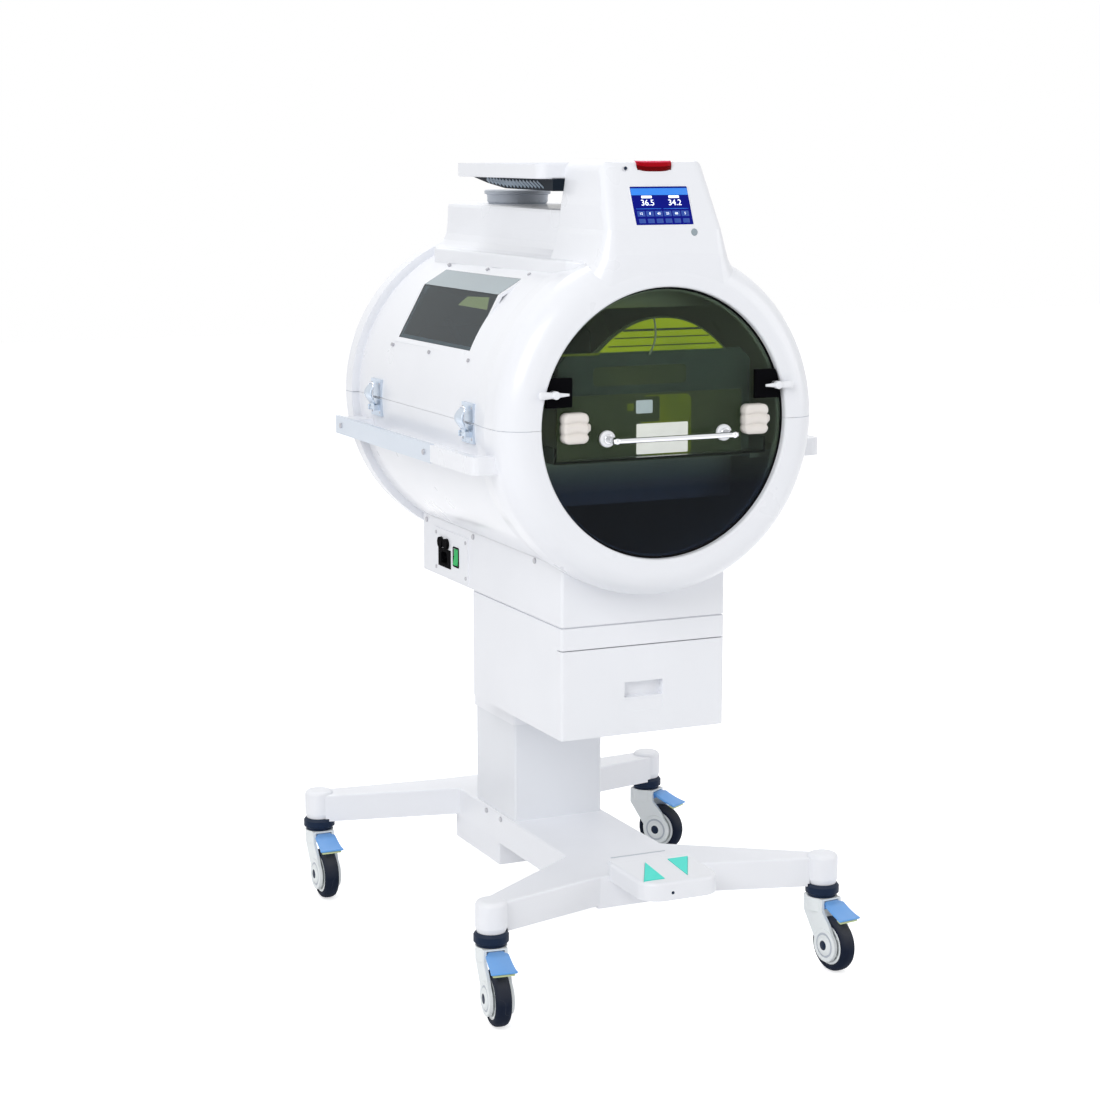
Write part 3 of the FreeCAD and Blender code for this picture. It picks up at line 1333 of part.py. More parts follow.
def window_screws(outside):
    """Screw heads in a row above and below the pane, square to the drum's wall."""
    heads = []
    for name, turn_angle in (("high", "window_screw_high"), ("low", "window_screw_low")):
        for y in ("-window_front - window_frame", "0", "window_rear + window_frame + 4"):
            head = doc.addObject("Part::Cylinder", "window_screw_" + name)
            head.setExpression("Radius", formula("small_screw_radius"))
            head.setExpression("Height", formula("barrel_front_radius + small_screw_height - rim_groove_radius"))
            place(head, f"-rim_groove_radius * cos({turn_angle})", y,
                  f"drum_z + rim_groove_radius * sin({turn_angle})", V(0, 1, 0), f"-(90 - {turn_angle})")
            heads.append(head)
    node(cut("window_screw_set", group("window_screw_blanks", *heads), outside), "window_screws")


# Lamp banks, bed and door

def lamp_tubes(z, half, start, end, count=5):
    return [rod("lamp_tube", "y", f"{index - count // 2} * tube_pitch", start, z, "tube_radius", f"({end}) - ({start})")
            for index in range(count)]


def lamp_banks(inside):
    under = "bed_top - bed_floor - seam"
    runners = [block("bed_runner", *sorted((f"{side} * runner_inner", f"{side} * rim_groove_radius * 1.1"), key=number),
                     "-lip_front + lip_thickness + 20", "bed_rear", f"{under} - runner_plate", under) for side in (-1, 1)]
    runners = common("bed_runner_pair", group("bed_runner_blanks", *runners), inside)
    low = new_body("lower_lamp_box")
    hang = f"{under} - runner_plate"
    pad(low, "XY_Plane", "lamp_low", hang, rectangle("-lamp_half", "lamp_half", "-lamp_front", "lamp_rear"))
    pad(low, "XY_Plane", f"{hang} - lamp_wall", hang,
        rectangle("-runner_inner - 30", "runner_inner + 30", "-lamp_front", "lamp_rear"))
    pocket(low, "XY_Plane", "lamp_low + lamp_wall", hang,
           rectangle("-lamp_half + lamp_wall", "lamp_half - lamp_wall", "-lamp_front + lamp_wall", "lamp_rear - lamp_wall"))
    tubes = lamp_tubes("lamp_low + 2 * tube_radius", "lamp_half", "-lamp_front", "lamp_rear")
    node(fuse("lower_lamps", runners, low, *tubes), "lower_lamp_bank")
    top = block("top_lamp_block", "-top_lamp_half", "top_lamp_half", "-lamp_front + 20", "lamp_rear - 10",
                "top_lamp_low", "drum_z + ring_radius")
    space = block("top_lamp_space", "-top_lamp_half + lamp_wall", "top_lamp_half - lamp_wall",
                  "-lamp_front + 20 + lamp_wall", "lamp_rear - 10 - lamp_wall", "top_lamp_low", "drum_z + ring_radius")
    curve = rod("top_lamp_curve", "y", "0", "-lamp_front", "drum_z", "rim_groove_radius - 2 * drum_wall",
                "lamp_front + lamp_rear")
    hollow = cut("top_lamp_box", common("top_lamp_under_drum", top, inside), common("top_lamp_void", space, curve))
    tubes = lamp_tubes("top_lamp_low + tube_radius + 3", "top_lamp_half", "-lamp_front + 20", "lamp_rear - 10")
    node(fuse("upper_lamps", hollow, *tubes), "upper_lamp_bank")


def bed_frame():
    body = new_body("bed_frame")
    front = "-door_front + door_thickness"
    pad(body, "XY_Plane", "bed_top - bed_floor", "bed_top", rectangle("-bed_half", "bed_half", front, "bed_rear"))
    for side in (-1, 1):
        pad(body, "XY_Plane", "bed_top", "bed_top + bed_side",
            rectangle(f"{side} * (bed_half - bed_floor)", f"{side} * bed_half", front, "bed_rear"))
    guard = [("-guard_half", "bed_top"), ("guard_half", "bed_top"), ("guard_half", "guard_top - 20"),
             ("guard_half - 20", "guard_top"), ("-guard_half + 20", "guard_top"), ("-guard_half", "guard_top - 20")]
    for low, high in ((f"{front} + guard_setback", f"{front} + guard_setback + guard_thickness"),
                      ("bed_rear - guard_thickness", "bed_rear")):
        pad(body, "XZ_Plane", low, high, guard)
    node(body, "bed_frame")
    mattress = new_body("mattress")
    pad(mattress, "XY_Plane", "bed_top + seam", "bed_top + seam + mattress_thickness",
        rectangle("-mattress_half", "mattress_half", "-mattress_front", "mattress_rear"))
    round_edges(mattress, "3 * edge_round", lambda edge: runs_along(edge, 2))
    node(mattress, "mattress")
    face = f"{front} + guard_setback"
    node(block("card", "-card_half", "card_half", f"{face} - card_thickness", face, "card_low", "card_high"), "bed_card")


def door():
    glass = new_body("door_glass")
    back = "-door_front + door_thickness"
    pad(glass, "XZ_Plane", "-door_front", back, ("0", "drum_z", "door_radius"))
    for side in (-1, 1):
        pocket(glass, "XZ_Plane", "-door_front", back, (f"{side} * knob_x", "knob_z", "knob_shaft + running_fit"))
    node(glass, "door_glass")
    pads = new_body("door_pad_blocks")
    for side in (-1, 1):
        pad(pads, "XZ_Plane", "-door_front - pad_thickness", "-door_front",
            rectangle(f"{side} * pad_inner", f"{side} * pad_outer", "pad_low", "pad_high"))
    disc = rod("pad_trim", "y", "0", "-door_front - pad_thickness - 1", "drum_z", "door_radius - 2", "pad_thickness + 2")
    posts = []
    for side in (-1, 1):
        start, length = "-swing_front + 1", "swing_front - 1 - door_front"
        posts.append(rod("swing_pin", "y", f"{side} * swing_x", start, "swing_z", "swing_pin", length))
        start = "-swing_front + swing_thickness + seam"
        posts.append(rod("swing_boss", "y", f"{side} * swing_x", start, "swing_z", "swing_radius - 2",
                         f"-door_front - ({start})"))
    node(fuse("door_pad_set", common("door_pad_trimmed", pads, disc), *posts), "door_pads")


def door_handle():
    face = "-door_front"
    pieces = []
    for side in (-1, 1):
        x = f"handle_shift + {side} * handle_x"
        pieces.append(rod("handle_disc", "y", x, f"{face} - pad_thickness", "handle_z", "handle_disc", "pad_thickness"))
        pieces.append(rod("handle_post", "y", x, f"{face} - handle_reach", "handle_z", "handle_post", "handle_reach"))
    pieces.append(rod("handle_bar", "x", "handle_shift - handle_x - handle_over", f"{face} - handle_reach + handle_post", "handle_z",
                      "handle_rod", "2 * (handle_x + handle_over)"))
    node(fuse("handle_pieces", *pieces), "door_handle")


def door_knob(name, side):
    """A square turn knob with ribs and a pointer, its shaft through the door and a cam behind."""
    body = new_body(name)
    x = f"{side} * knob_x"
    face, back = "-door_front - seam", "-door_front + door_thickness + seam"
    pad(body, "XZ_Plane", f"{face} - knob_depth", face,
        rectangle(f"{x} - knob_half", f"{x} + knob_half", "knob_z - knob_tall", "knob_z + knob_tall"))
    round_edges(body, "knob_round", lambda edge: runs_along(edge, 1))
    round_edges(body, "edge_round", lambda edge: lies_at(edge, 1, f"{face} - knob_depth"))
    for step in (-1, 1):
        z = f"knob_z + {step} * knob_tall / 3"
        pocket(body, "XZ_Plane", f"{face} - knob_depth", f"{face} - knob_depth + 4",
               rectangle(f"{x} - knob_half - 1", f"{x} + knob_half + 1", f"{z} - 1.5", f"{z} + 1.5"))
    pad(body, "XZ_Plane", f"{face} - knob_depth + 6", face,
        [(f"{x} + knob_half - 3", "knob_z - 9"), (f"{x} + knob_half + 6", "knob_z"), (f"{x} + knob_half - 3", "knob_z + 9")])
    pad(body, "XZ_Plane", face, back, (x, "knob_z", "knob_shaft"))
    pad(body, "XZ_Plane", back, f"{back} + cam_thickness", (x, "knob_z", "cam_radius"))
    node(body, name)


def door_swing(name, side):
    """A tapered arm on the door's pad whose thick end lies over the ring."""
    body = new_body(name)
    low, high = "-swing_front", "-swing_front + swing_thickness"
    end, tip = f"{side} * (swing_end - swing_radius)", f"{side} * swing_tip"
    pad(body, "XZ_Plane", low, high, (end, "swing_z", "swing_radius"))
    pad(body, "XZ_Plane", low, high, [(end, "swing_z - swing_radius + 0.2"), (end, "swing_z + swing_radius - 0.2"),
                                      (tip, "swing_z + 2"), (tip, "swing_z - 2")])
    pad(body, "XZ_Plane", low, high, (f"{side} * swing_x", "swing_z", "swing_radius - 2"))
    pocket(body, "XZ_Plane", low, high, (f"{side} * swing_x", "swing_z", "swing_pin + running_fit"))
    node(body, name)


def build_carriage_and_canopy():
    outside, inside = build_drum()
    holes = panel_holes()
    tube("outer_column", "sleeve_low", "housing_low", "slide_gap + sleeve_wall", "slide_gap", "column_round")
    lower_housing(outside, holes)
    drawer_cabinet()
    drawer()
    power_panel(holes)
    power_inlet()
    rocker_switch()
    screw_heads()
    rails(outside)
    latches(outside)
    hinges(outside)
    head = control_head(outside)
    top_housing(outside, head)
    tray()
    vent_box()
    window_screws(outside)
    lamp_banks(inside)


def build_bed():
    bed_frame()
    door()
    door_handle()
    for name, side in (("left", -1), ("right", 1)):
        door_knob("door_knob_" + name, side)
        door_swing("door_swing_" + name, side)


def check_and_write():
    """Refuse a failed or broken piece, then write one file for each."""
    doc.recompute()
    for item in doc.Objects:
        if "Invalid" in item.State or "Error" in item.State:
            raise RuntimeError(f"{item.Name} failed: {item.State}")
    for name, item in nodes.items():
        if item.Shape.isNull() or not item.Shape.isValid() or not item.Shape.Solids:
            raise RuntimeError(f"{name} has no valid solid")
    os.makedirs("parts", exist_ok=True)
    for name, item in nodes.items():
        item.Shape.exportStep(f"parts/{name}.step")
    print(len(nodes), "sub-parts written")


build_base()
build_carriage_and_canopy()
build_bed()
check_and_write()
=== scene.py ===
import json
import math
import bmesh
import bpy
import numpy as np
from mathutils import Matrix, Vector


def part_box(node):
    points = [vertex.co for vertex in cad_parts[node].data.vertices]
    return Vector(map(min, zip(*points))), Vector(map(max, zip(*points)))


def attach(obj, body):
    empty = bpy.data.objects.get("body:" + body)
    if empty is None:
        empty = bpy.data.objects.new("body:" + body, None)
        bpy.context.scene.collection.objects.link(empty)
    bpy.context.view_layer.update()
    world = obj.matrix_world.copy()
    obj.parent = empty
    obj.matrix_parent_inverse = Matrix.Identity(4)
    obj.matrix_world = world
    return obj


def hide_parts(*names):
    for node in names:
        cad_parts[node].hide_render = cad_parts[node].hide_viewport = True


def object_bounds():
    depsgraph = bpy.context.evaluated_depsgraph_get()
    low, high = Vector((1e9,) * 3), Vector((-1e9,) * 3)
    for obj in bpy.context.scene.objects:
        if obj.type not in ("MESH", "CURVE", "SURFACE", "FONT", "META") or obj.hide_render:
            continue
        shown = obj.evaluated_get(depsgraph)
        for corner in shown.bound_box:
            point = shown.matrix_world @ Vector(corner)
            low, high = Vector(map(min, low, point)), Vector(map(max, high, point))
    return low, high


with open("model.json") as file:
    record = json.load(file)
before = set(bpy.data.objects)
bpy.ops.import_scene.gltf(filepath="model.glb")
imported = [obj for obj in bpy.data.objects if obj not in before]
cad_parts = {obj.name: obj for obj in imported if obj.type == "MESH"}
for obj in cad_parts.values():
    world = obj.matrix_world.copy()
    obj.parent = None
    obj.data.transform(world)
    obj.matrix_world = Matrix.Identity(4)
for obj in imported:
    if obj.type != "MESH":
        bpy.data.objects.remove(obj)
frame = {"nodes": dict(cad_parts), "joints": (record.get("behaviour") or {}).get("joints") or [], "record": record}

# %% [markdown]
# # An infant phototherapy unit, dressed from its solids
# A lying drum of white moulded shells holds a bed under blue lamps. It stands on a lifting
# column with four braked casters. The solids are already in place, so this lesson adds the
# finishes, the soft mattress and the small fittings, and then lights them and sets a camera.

solids_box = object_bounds()
nodes = frame["nodes"]
MM = 0.001
for end, corner in zip(("from", "to"), solids_box):
    print("solids reach", end, [round(v, 3) for v in corner])

# %% [markdown]
# ## Surfaces worked out as grids
# Each added piece is a grid of points: a shape is a function of two parameters, worked out for
# all points at once with numpy. One helper turns such a grid into a mesh, closes its poles and
# turns its faces outwards. The other helpers only compute grids. Numbers are in millimetres.


# %% From a grid of points to a finished mesh
SAME_POINT = 2e-6  # metres; nearer points are merged
NO_LENGTH = 1e-7   # metres; shorter edges are dissolved


def grid_faces(rows, columns, wrap_rows, wrap_columns):
    """Each quad joins point (i, j) to its neighbours (i+1, j), (i+1, j+1) and (i, j+1)."""
    i = np.arange(rows if wrap_rows else rows - 1)[:, None]
    j = np.arange(columns if wrap_columns else columns - 1)[None, :]
    below, beside = (i + 1) % rows, (j + 1) % columns
    corners = [i * columns + j, below * columns + j, below * columns + beside, i * columns + beside]
    return np.stack(corners, axis=-1).reshape(-1, 4)


def placed(name, mesh, body):
    """An object of the mesh that rides the body."""
    piece = bpy.data.objects.new(name, mesh)
    bpy.context.scene.collection.objects.link(piece)
    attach(piece, body)
    return piece


def finished(name, points, faces, body, smooth=True):
    """Points and faces as a closed mesh: doubles merged at the poles, faces turned outwards."""
    mesh = bpy.data.meshes.new(name)
    mesh.from_pydata((np.asarray(points).reshape(-1, 3) * MM).tolist(), [], np.asarray(faces).tolist())
    work = bmesh.new()
    work.from_mesh(mesh)
    bmesh.ops.remove_doubles(work, verts=work.verts, dist=SAME_POINT)
    bmesh.ops.dissolve_degenerate(work, edges=work.edges, dist=NO_LENGTH)
    bmesh.ops.recalc_face_normals(work, faces=work.faces)
    work.to_mesh(mesh)
    work.free()
    mesh.polygons.foreach_set("use_smooth", np.full(len(mesh.polygons), smooth))
    return placed(name, mesh, body)


def from_grid(name, points, body, slot, wrap_rows=False, wrap_columns=True, smooth=True):
    """A grid's points joined by quads; its last row or column also meets the first if wrapped."""
    faces = grid_faces(*points.shape[:2], wrap_rows, wrap_columns)
    return finished(name, points, faces, body, smooth)


def capped(rings):
    """Rings with the mean of the first before them and of the last after them, which closes them."""
    ends = rings.mean(axis=1)[[0, -1], None].repeat(rings.shape[1], axis=1)
    return np.concatenate([ends[:1], rings, ends[1:]])


print("mesh helpers ready")


# %% Turned, swept and rounded shapes
ACROSS, BACK, RISE = (1, 0, 0), (0, 1, 0), (0, 0, 1)
FORWARD = (0, -1, 0)
UP = np.array([0, 0, 1.0])


def frame_for(axis):
    """Two unit vectors square to the axis and to each other."""
    axis = np.asarray(axis, float) / np.linalg.norm(axis)
    helper = np.array([0.0, 0.0, 1.0]) if abs(axis[2]) < 0.9 else np.array([0.0, 1.0, 0.0])
    side = np.cross(helper, axis)
    side = side / np.linalg.norm(side)
    return side, np.cross(axis, side), axis


def turned(centre, axis, profile, steps=48):
    """A profile of (radius, height along the axis) turned once round the axis."""
    side, up, along = frame_for(axis)
    angle = np.linspace(0, 2 * np.pi, steps, endpoint=False)[None, :, None]
    radius, height = np.asarray(profile, float).T[:, :, None, None]
    ring = np.cos(angle) * side + np.sin(angle) * up
    return np.asarray(centre, float) + radius * ring + height * along


def rounded_outline(half_width, half_height, corner, steps=6):
    """Points round a rectangle whose corners are quarter circles."""
    angle = np.linspace(0, np.pi / 2, steps)
    arc = np.stack([np.cos(angle), np.sin(angle)], axis=1) * corner
    inner = np.array([half_width - corner, half_height - corner])
    turns = [(1, 1, arc), (-1, 1, arc[::-1]), (-1, -1, arc), (1, -1, arc[::-1])]
    return np.concatenate([np.array([sx, sy]) * (inner + part) for sx, sy, part in turns])


def even_steps(outline, count):
    """The same closed outline walked in equal steps, so its straight runs have points too."""
    loop = np.concatenate([outline, outline[:1]])
    walked = np.concatenate([[0], np.cumsum(np.linalg.norm(np.diff(loop, axis=0), axis=1))])
    stops = np.linspace(0, walked[-1], count, endpoint=False)
    return np.stack([np.interp(stops, walked, loop[:, 0]), np.interp(stops, walked, loop[:, 1])], axis=1)


def pillow(centre, across, up, size, corner, edge, steps=5):
    """A rounded block: outlines of a rectangle stacked through its depth, drawn in along a
    quarter circle near both faces and closed at the middle of each face."""
    across, up = np.asarray(across, float), np.asarray(up, float)
    out = np.cross(across, up)
    width, height, depth = size
    turn = np.linspace(0, np.pi / 2, steps)
    inset = edge * (1 - np.sin(turn))
    level = depth / 2 - edge * (1 - np.cos(turn))
    insets = np.concatenate([inset, inset[::-1]])
    levels = np.concatenate([-level, level[::-1]])
    rings = [rounded_outline(width / 2 - i, height / 2 - i, max(corner - i, 0.05)) for i in insets]
    flat = np.stack([np.zeros_like(rings[0])] + rings + [np.zeros_like(rings[0])])
    depths = np.concatenate([[levels[0]], levels, [levels[-1]]])[:, None, None]
    return np.asarray(centre, float) + flat[..., :1] * across + flat[..., 1:] * up + depths * out


def swept(path, section, closed=False):
    """A flat section carried along a path; each ring stands square to the path there."""
    path = np.asarray(path, float)
    along = np.gradient(path, axis=0)
    if closed:
        along = np.roll(path, -1, axis=0) - np.roll(path, 1, axis=0)
    along = along / np.linalg.norm(along, axis=1, keepdims=True)
    upright = np.abs(along[:, 2]).max() >= 0.95
    helper = np.array([0.31, 0.95, 0.05]) if upright else np.array([0.0, 0.0, 1.0])
    side = np.cross(along, helper)
    side = side / np.linalg.norm(side, axis=1, keepdims=True)
    up = np.cross(side, along)
    section = np.asarray(section, float)
    rings = path[:, None] + section[:, :1] * side[:, None] + section[:, 1:] * up[:, None]
    if closed:
        return rings
    ends = np.repeat(path[[0, -1], None], len(section), axis=1)
    return np.concatenate([ends[:1], rings, ends[1:]])


def circle(radius, steps=12):
    """Points (r cos a, r sin a) in even steps of the angle a."""
    angle = np.linspace(0, 2 * np.pi, steps, endpoint=False)
    return np.stack([np.cos(angle), np.sin(angle)], axis=1) * radius


def domed(radius, height, edge, steps=6):
    """A turned button: upright side, a quarter-circle shoulder and a flat middle."""
    turn = np.linspace(0, np.pi / 2, steps)
    shoulder = np.stack([radius - edge * (1 - np.cos(turn)), height - edge * (1 - np.sin(turn))], axis=1)
    return np.concatenate([[[0, 0], [radius, 0]], shoulder, [[0, height]]])


def in_mm(box):
    """A box's two corners as arrays in millimetres."""
    return [np.array(corner) / MM for corner in box]


print("shape helpers ready")

# %% [markdown]
# ## Shared shader groups
# Real surfaces are never one flat colour. Moulded plastic and powder coat have a fine skin that
# breaks up reflections, everything that stands in a ward gathers faint dust on its upper faces,
# and hands and trolleys leave fine scuffs. Each of these is one node group with named inputs,
# built once here and placed in each finish with its own values.


# %% The skin, dust and scuff groups
def new_group(name, inputs, outputs):
    """An empty shader group with float inputs (name, default) and float outputs."""
    group = bpy.data.node_groups.new(name, "ShaderNodeTree")
    for label, default in inputs:
        socket = group.interface.new_socket(label, in_out="INPUT", socket_type="NodeSocketFloat")
        socket.default_value = default
    for label in outputs:
        group.interface.new_socket(label, in_out="OUTPUT", socket_type="NodeSocketFloat")
    return group, group.nodes.new("NodeGroupInput"), group.nodes.new("NodeGroupOutput")


def math_node(tree, operation, first, second, clamp=False):
    """One sum of two values, each a number or another node's output."""
    node = tree.nodes.new("ShaderNodeMath")
    node.operation = operation
    node.use_clamp = clamp
    for index, value in enumerate((first, second)):
        if isinstance(value, (int, float)):
            node.inputs[index].default_value = value
        else:
            tree.links.new(value, node.inputs[index])
    return node.outputs[0]


def noise_node(tree, vector, scale, detail=3.0):
    """A cloudy value from 0 to 1; the scale is a number or another node's output."""
    node = tree.nodes.new("ShaderNodeTexNoise")
    node.inputs["Detail"].default_value = detail
    tree.links.new(vector, node.inputs["Vector"])
    if isinstance(scale, (int, float)):
        node.inputs["Scale"].default_value = scale
    else:
        tree.links.new(scale, node.inputs["Scale"])
    return node.outputs["Fac"]


def object_place(tree):
    """The Object coordinates, which stay with a piece when it moves."""
    return tree.nodes.new("ShaderNodeTexCoord").outputs["Object"]


def build_skin():
    """Fine orange peel plus a slow unevenness: height for the bump, variation for the rest."""
    inputs = [("Grain Scale", 900.0), ("Grain Depth", 1.0)]
    tree, given, out = new_group("skin", inputs, ["Height", "Variation"])
    place = object_place(tree)
    fine = noise_node(tree, place, given.outputs["Grain Scale"], 2.0)
    slow = noise_node(tree, place, 9.0, 3.0)
    tree.links.new(math_node(tree, "MULTIPLY", fine, given.outputs["Grain Depth"]), out.inputs["Height"])
    tree.links.new(slow, out.inputs["Variation"])
    return tree


def build_dust():
    """Dust lies where the surface looks up, thicker in the slow noise's clouds."""
    tree, given, out = new_group("settled dust", [("Amount", 0.3), ("Cloud Scale", 14.0)], ["Mask"])
    clouds = noise_node(tree, object_place(tree), given.outputs["Cloud Scale"], 5.0)
    looking = tree.nodes.new("ShaderNodeSeparateXYZ")
    geometry = tree.nodes.new("ShaderNodeNewGeometry")
    tree.links.new(geometry.outputs["Normal"], looking.inputs[0])
    upward = math_node(tree, "MAXIMUM", looking.outputs["Z"], 0.0)
    cloudy = math_node(tree, "MULTIPLY", upward, clouds)
    tree.links.new(math_node(tree, "MULTIPLY", cloudy, given.outputs["Amount"], True), out.inputs["Mask"])
    return tree


def build_scuffs():
    """Thin curved marks: one minus the noise's distance from its middle times the sharpness,
    kept only in the patches where a slower noise rises past its start."""
    sharpness, patch_scale, patch_start, patch_slope = 260.0, 7.0, 0.52, 9.0
    tree, given, out = new_group("scuffs", [("Amount", 0.2), ("Mark Scale", 22.0)], ["Mask"])
    place = object_place(tree)
    marks = noise_node(tree, place, given.outputs["Mark Scale"], 1.5)
    off_middle = math_node(tree, "ABSOLUTE", math_node(tree, "SUBTRACT", marks, 0.5), 0.0)
    thin = math_node(tree, "SUBTRACT", 1.0, math_node(tree, "MULTIPLY", off_middle, sharpness), True)
    patches = noise_node(tree, place, patch_scale, 2.0)
    worn = math_node(tree, "MULTIPLY", math_node(tree, "SUBTRACT", patches, patch_start), patch_slope, True)
    both = math_node(tree, "MULTIPLY", thin, worn)
    tree.links.new(math_node(tree, "MULTIPLY", both, given.outputs["Amount"], True), out.inputs["Mask"])
    return tree


SKIN, DUST, SCUFFS = build_skin(), build_dust(), build_scuffs()
print("shader groups:", SKIN.name, DUST.name, SCUFFS.name)


# %% [markdown]
# ## One recipe for the solid finishes
# Most finishes differ only in their numbers: the base colour, how rough and how metallic they
# are, the size of their grain and how much dust and scuffing they carry. So one function builds
# them all. The groups only vary colour, roughness and bump; the numbers that are the same all
# over are set on the shader itself.


# %% The finish recipe
UNEVEN = 0.16                    # how far the slow noise moves the roughness
DUST_DULLS = 0.3                 # how much full dust adds to the roughness
BUMP_STRENGTH, BUMP_HEIGHT = 0.12, 0.0004


def group_node(tree, group, **values):
    """A shared group placed in a material, with its named inputs set."""
    node = tree.nodes.new("ShaderNodeGroup")
    node.node_tree = group
    for label, value in values.items():
        node.inputs[label.replace("_", " ")].default_value = value
    return node


def mixed(tree, mask, first, second):
    """A colour that goes from the first to the second as the mask goes from 0 to 1."""
    node = tree.nodes.new("ShaderNodeMix")
    node.data_type = "RGBA"
    if isinstance(mask, (int, float)):
        node.inputs["Factor"].default_value = mask
    else:
        tree.links.new(mask, node.inputs["Factor"])
    for label, value in (("A", first), ("B", second)):
        socket = [s for s in node.inputs if s.name == label and s.type == "RGBA"][0]
        if isinstance(value, tuple):
            socket.default_value = (*value, 1.0)
        else:
            tree.links.new(value, socket)
    return [s for s in node.outputs if s.type == "RGBA"][0]


def add_bump(tree, height, strength, distance):
    """Turns the shader's normal by the slope of a height."""
    bump = tree.nodes.new("ShaderNodeBump")
    bump.inputs["Strength"].default_value = strength
    bump.inputs["Distance"].default_value = distance
    tree.links.new(height, bump.inputs["Height"])
    tree.links.new(bump.outputs["Normal"], tree.nodes["Principled BSDF"].inputs["Normal"])


def finish(name, colour, rough, metal=0.0, grain=900.0, depth=1.0, dust=0.25, scuff=0.15,
           coat=0.0, shade=0.04, dust_colour=(0.62, 0.60, 0.56)):
    """Colour and roughness plus the slow noise, dust on upward faces and scuffs over them. The
    roughness is the given one, give or take half the unevenness, and more where dust lies."""
    material = bpy.data.materials.new(name)
    material.use_nodes = True
    tree = material.node_tree
    shader = tree.nodes["Principled BSDF"]
    skin = group_node(tree, SKIN, Grain_Scale=grain, Grain_Depth=depth)
    settled = group_node(tree, DUST, Amount=dust)
    marks = group_node(tree, SCUFFS, Amount=scuff)
    darker = tuple(c * (1 - shade) for c in colour)
    toned = mixed(tree, skin.outputs["Variation"], colour, darker)
    dusty = mixed(tree, settled.outputs["Mask"], toned, dust_colour)
    scraped = tuple(min(1, c * 0.6 + 0.12) for c in colour)
    worn = mixed(tree, marks.outputs["Mask"], dusty, scraped)
    tree.links.new(worn, shader.inputs["Base Color"])
    uneven = math_node(tree, "MULTIPLY", skin.outputs["Variation"], UNEVEN)
    roughness = math_node(tree, "ADD", uneven, rough - UNEVEN / 2)
    dulling = math_node(tree, "MULTIPLY", settled.outputs["Mask"], DUST_DULLS)
    tree.links.new(math_node(tree, "ADD", roughness, dulling, True), shader.inputs["Roughness"])
    add_bump(tree, skin.outputs["Height"], BUMP_STRENGTH, BUMP_HEIGHT)
    shader.inputs["Metallic"].default_value = metal
    shader.inputs["Coat Weight"].default_value = coat
    shader.inputs["Coat Roughness"].default_value = 0.08
    return material


print("finish recipe ready")

# %% The finishes of this unit
WHITE = (0.87, 0.885, 0.925)
FINISHES = {
    "white_metal": finish("white powder coat", WHITE, 0.42, grain=700.0, depth=0.8, dust=0.05, scuff=0.01),
    "white_plastic": finish("white moulded shell", (0.865, 0.882, 0.925), 0.3, depth=0.12, coat=0.25,
                            dust=0.03, scuff=0.0),
    "cap_white": finish("white cap plastic", WHITE, 0.45, depth=1.0, dust=0.08, scuff=0.04),
    "column_metal": finish("column coat", (0.80, 0.82, 0.86), 0.4, grain=800.0, depth=1.2, dust=0.1,
                           scuff=0.05),
    "dark_slate": finish("slate bearing plastic", (0.010, 0.021, 0.048), 0.45, depth=1.0, dust=0.08),
    "fork_grey": finish("pale fork plastic", (0.82, 0.86, 0.87), 0.4, depth=1.2, scuff=0.2),
    "tyre": finish("slate tyre rubber", (0.008, 0.013, 0.028), 0.75, grain=500.0, depth=2.0, dust=0.15,
                   scuff=0.35),
    "brake_blue": finish("blue pedal plastic", (0.11, 0.37, 0.84), 0.4, depth=1.0, scuff=0.3),
    "turquoise": finish("turquoise key rubber", (0.045, 0.86, 0.72), 0.5, grain=600.0, depth=1.2, scuff=0.15,
                        dust=0.05),
    "rail_metal": finish("anodised rail", (0.66, 0.72, 0.80), 0.3, metal=0.55, grain=1400.0, scuff=0.3),
    "latch_steel": finish("latch steel", (0.62, 0.70, 0.80), 0.28, metal=0.85, grain=1200.0, scuff=0.3),
    "screw_steel": finish("screw steel", (0.50, 0.50, 0.53), 0.35, metal=0.9, grain=1500.0),
    "black_plastic": finish("black fitting plastic", (0.004, 0.004, 0.005), 0.5, depth=1.0, dust=0.03,
                            scuff=0.05),
    "switch_green": finish("green rocker plastic", (0.015, 0.47, 0.12), 0.5),
    # Under the tray: a dark finish of painted shade and a pale one of painted streaks of light.
    "louvre_slate": finish("painted shade under the tray", (0.012, 0.018, 0.026), 0.4, metal=0.2, dust=0.03,
                           scuff=0.02),
    "louvre_pale": finish("painted light streaks under the tray", (0.20, 0.26, 0.33), 0.35, metal=0.4, dust=0.03, scuff=0.02),
    "button_grey": finish("grey button rubber", (0.30, 0.36, 0.40), 0.5),
    "vent_grey": finish("grey vent plastic", (0.50, 0.54, 0.60), 0.5, depth=1.2, dust=0.1),
    "cream": finish("cream grip plastic", (0.80, 0.76, 0.72), 0.5, depth=1.2, shade=0.05),
    "chrome": finish("polished rod", (0.80, 0.81, 0.84), 0.12, metal=1.0, scuff=0.1, dust=0.05),
    "lime": finish("pale lime pedal edge", (0.62, 0.70, 0.36), 0.5),
    "lamp_metal": finish("lamp tray aluminium", (0.60, 0.62, 0.65), 0.35, metal=0.8),
}
print(len(FINISHES), "solid finishes")

# %% [markdown]
# ## Glass, the screen and lit faces
# The round door and the side window are smoked acrylic: they pass little light, with an olive
# cast, and keep a sharp reflection. The screen and the alarm lamp are emission under a glossy
# skin, because their colours come from inside and hardly change with the room's light. What
# shows behind the door is emission too, but as painted light: it stands in for the room light
# that reaches it through the glass. The lamp's darker skins are painted shade and the window's
# pale sheet is a painted reflection. Black and slate plastics reflect less than the default,
# so their specular level and index of refraction are lowered.


# %% The recipe for smoked acrylic
# A pane's darker foot is painted shade, not a colour of the acrylic.
FOOT_SHADE_FADE = 0.06                 # metres over which a pane's foot colour comes in


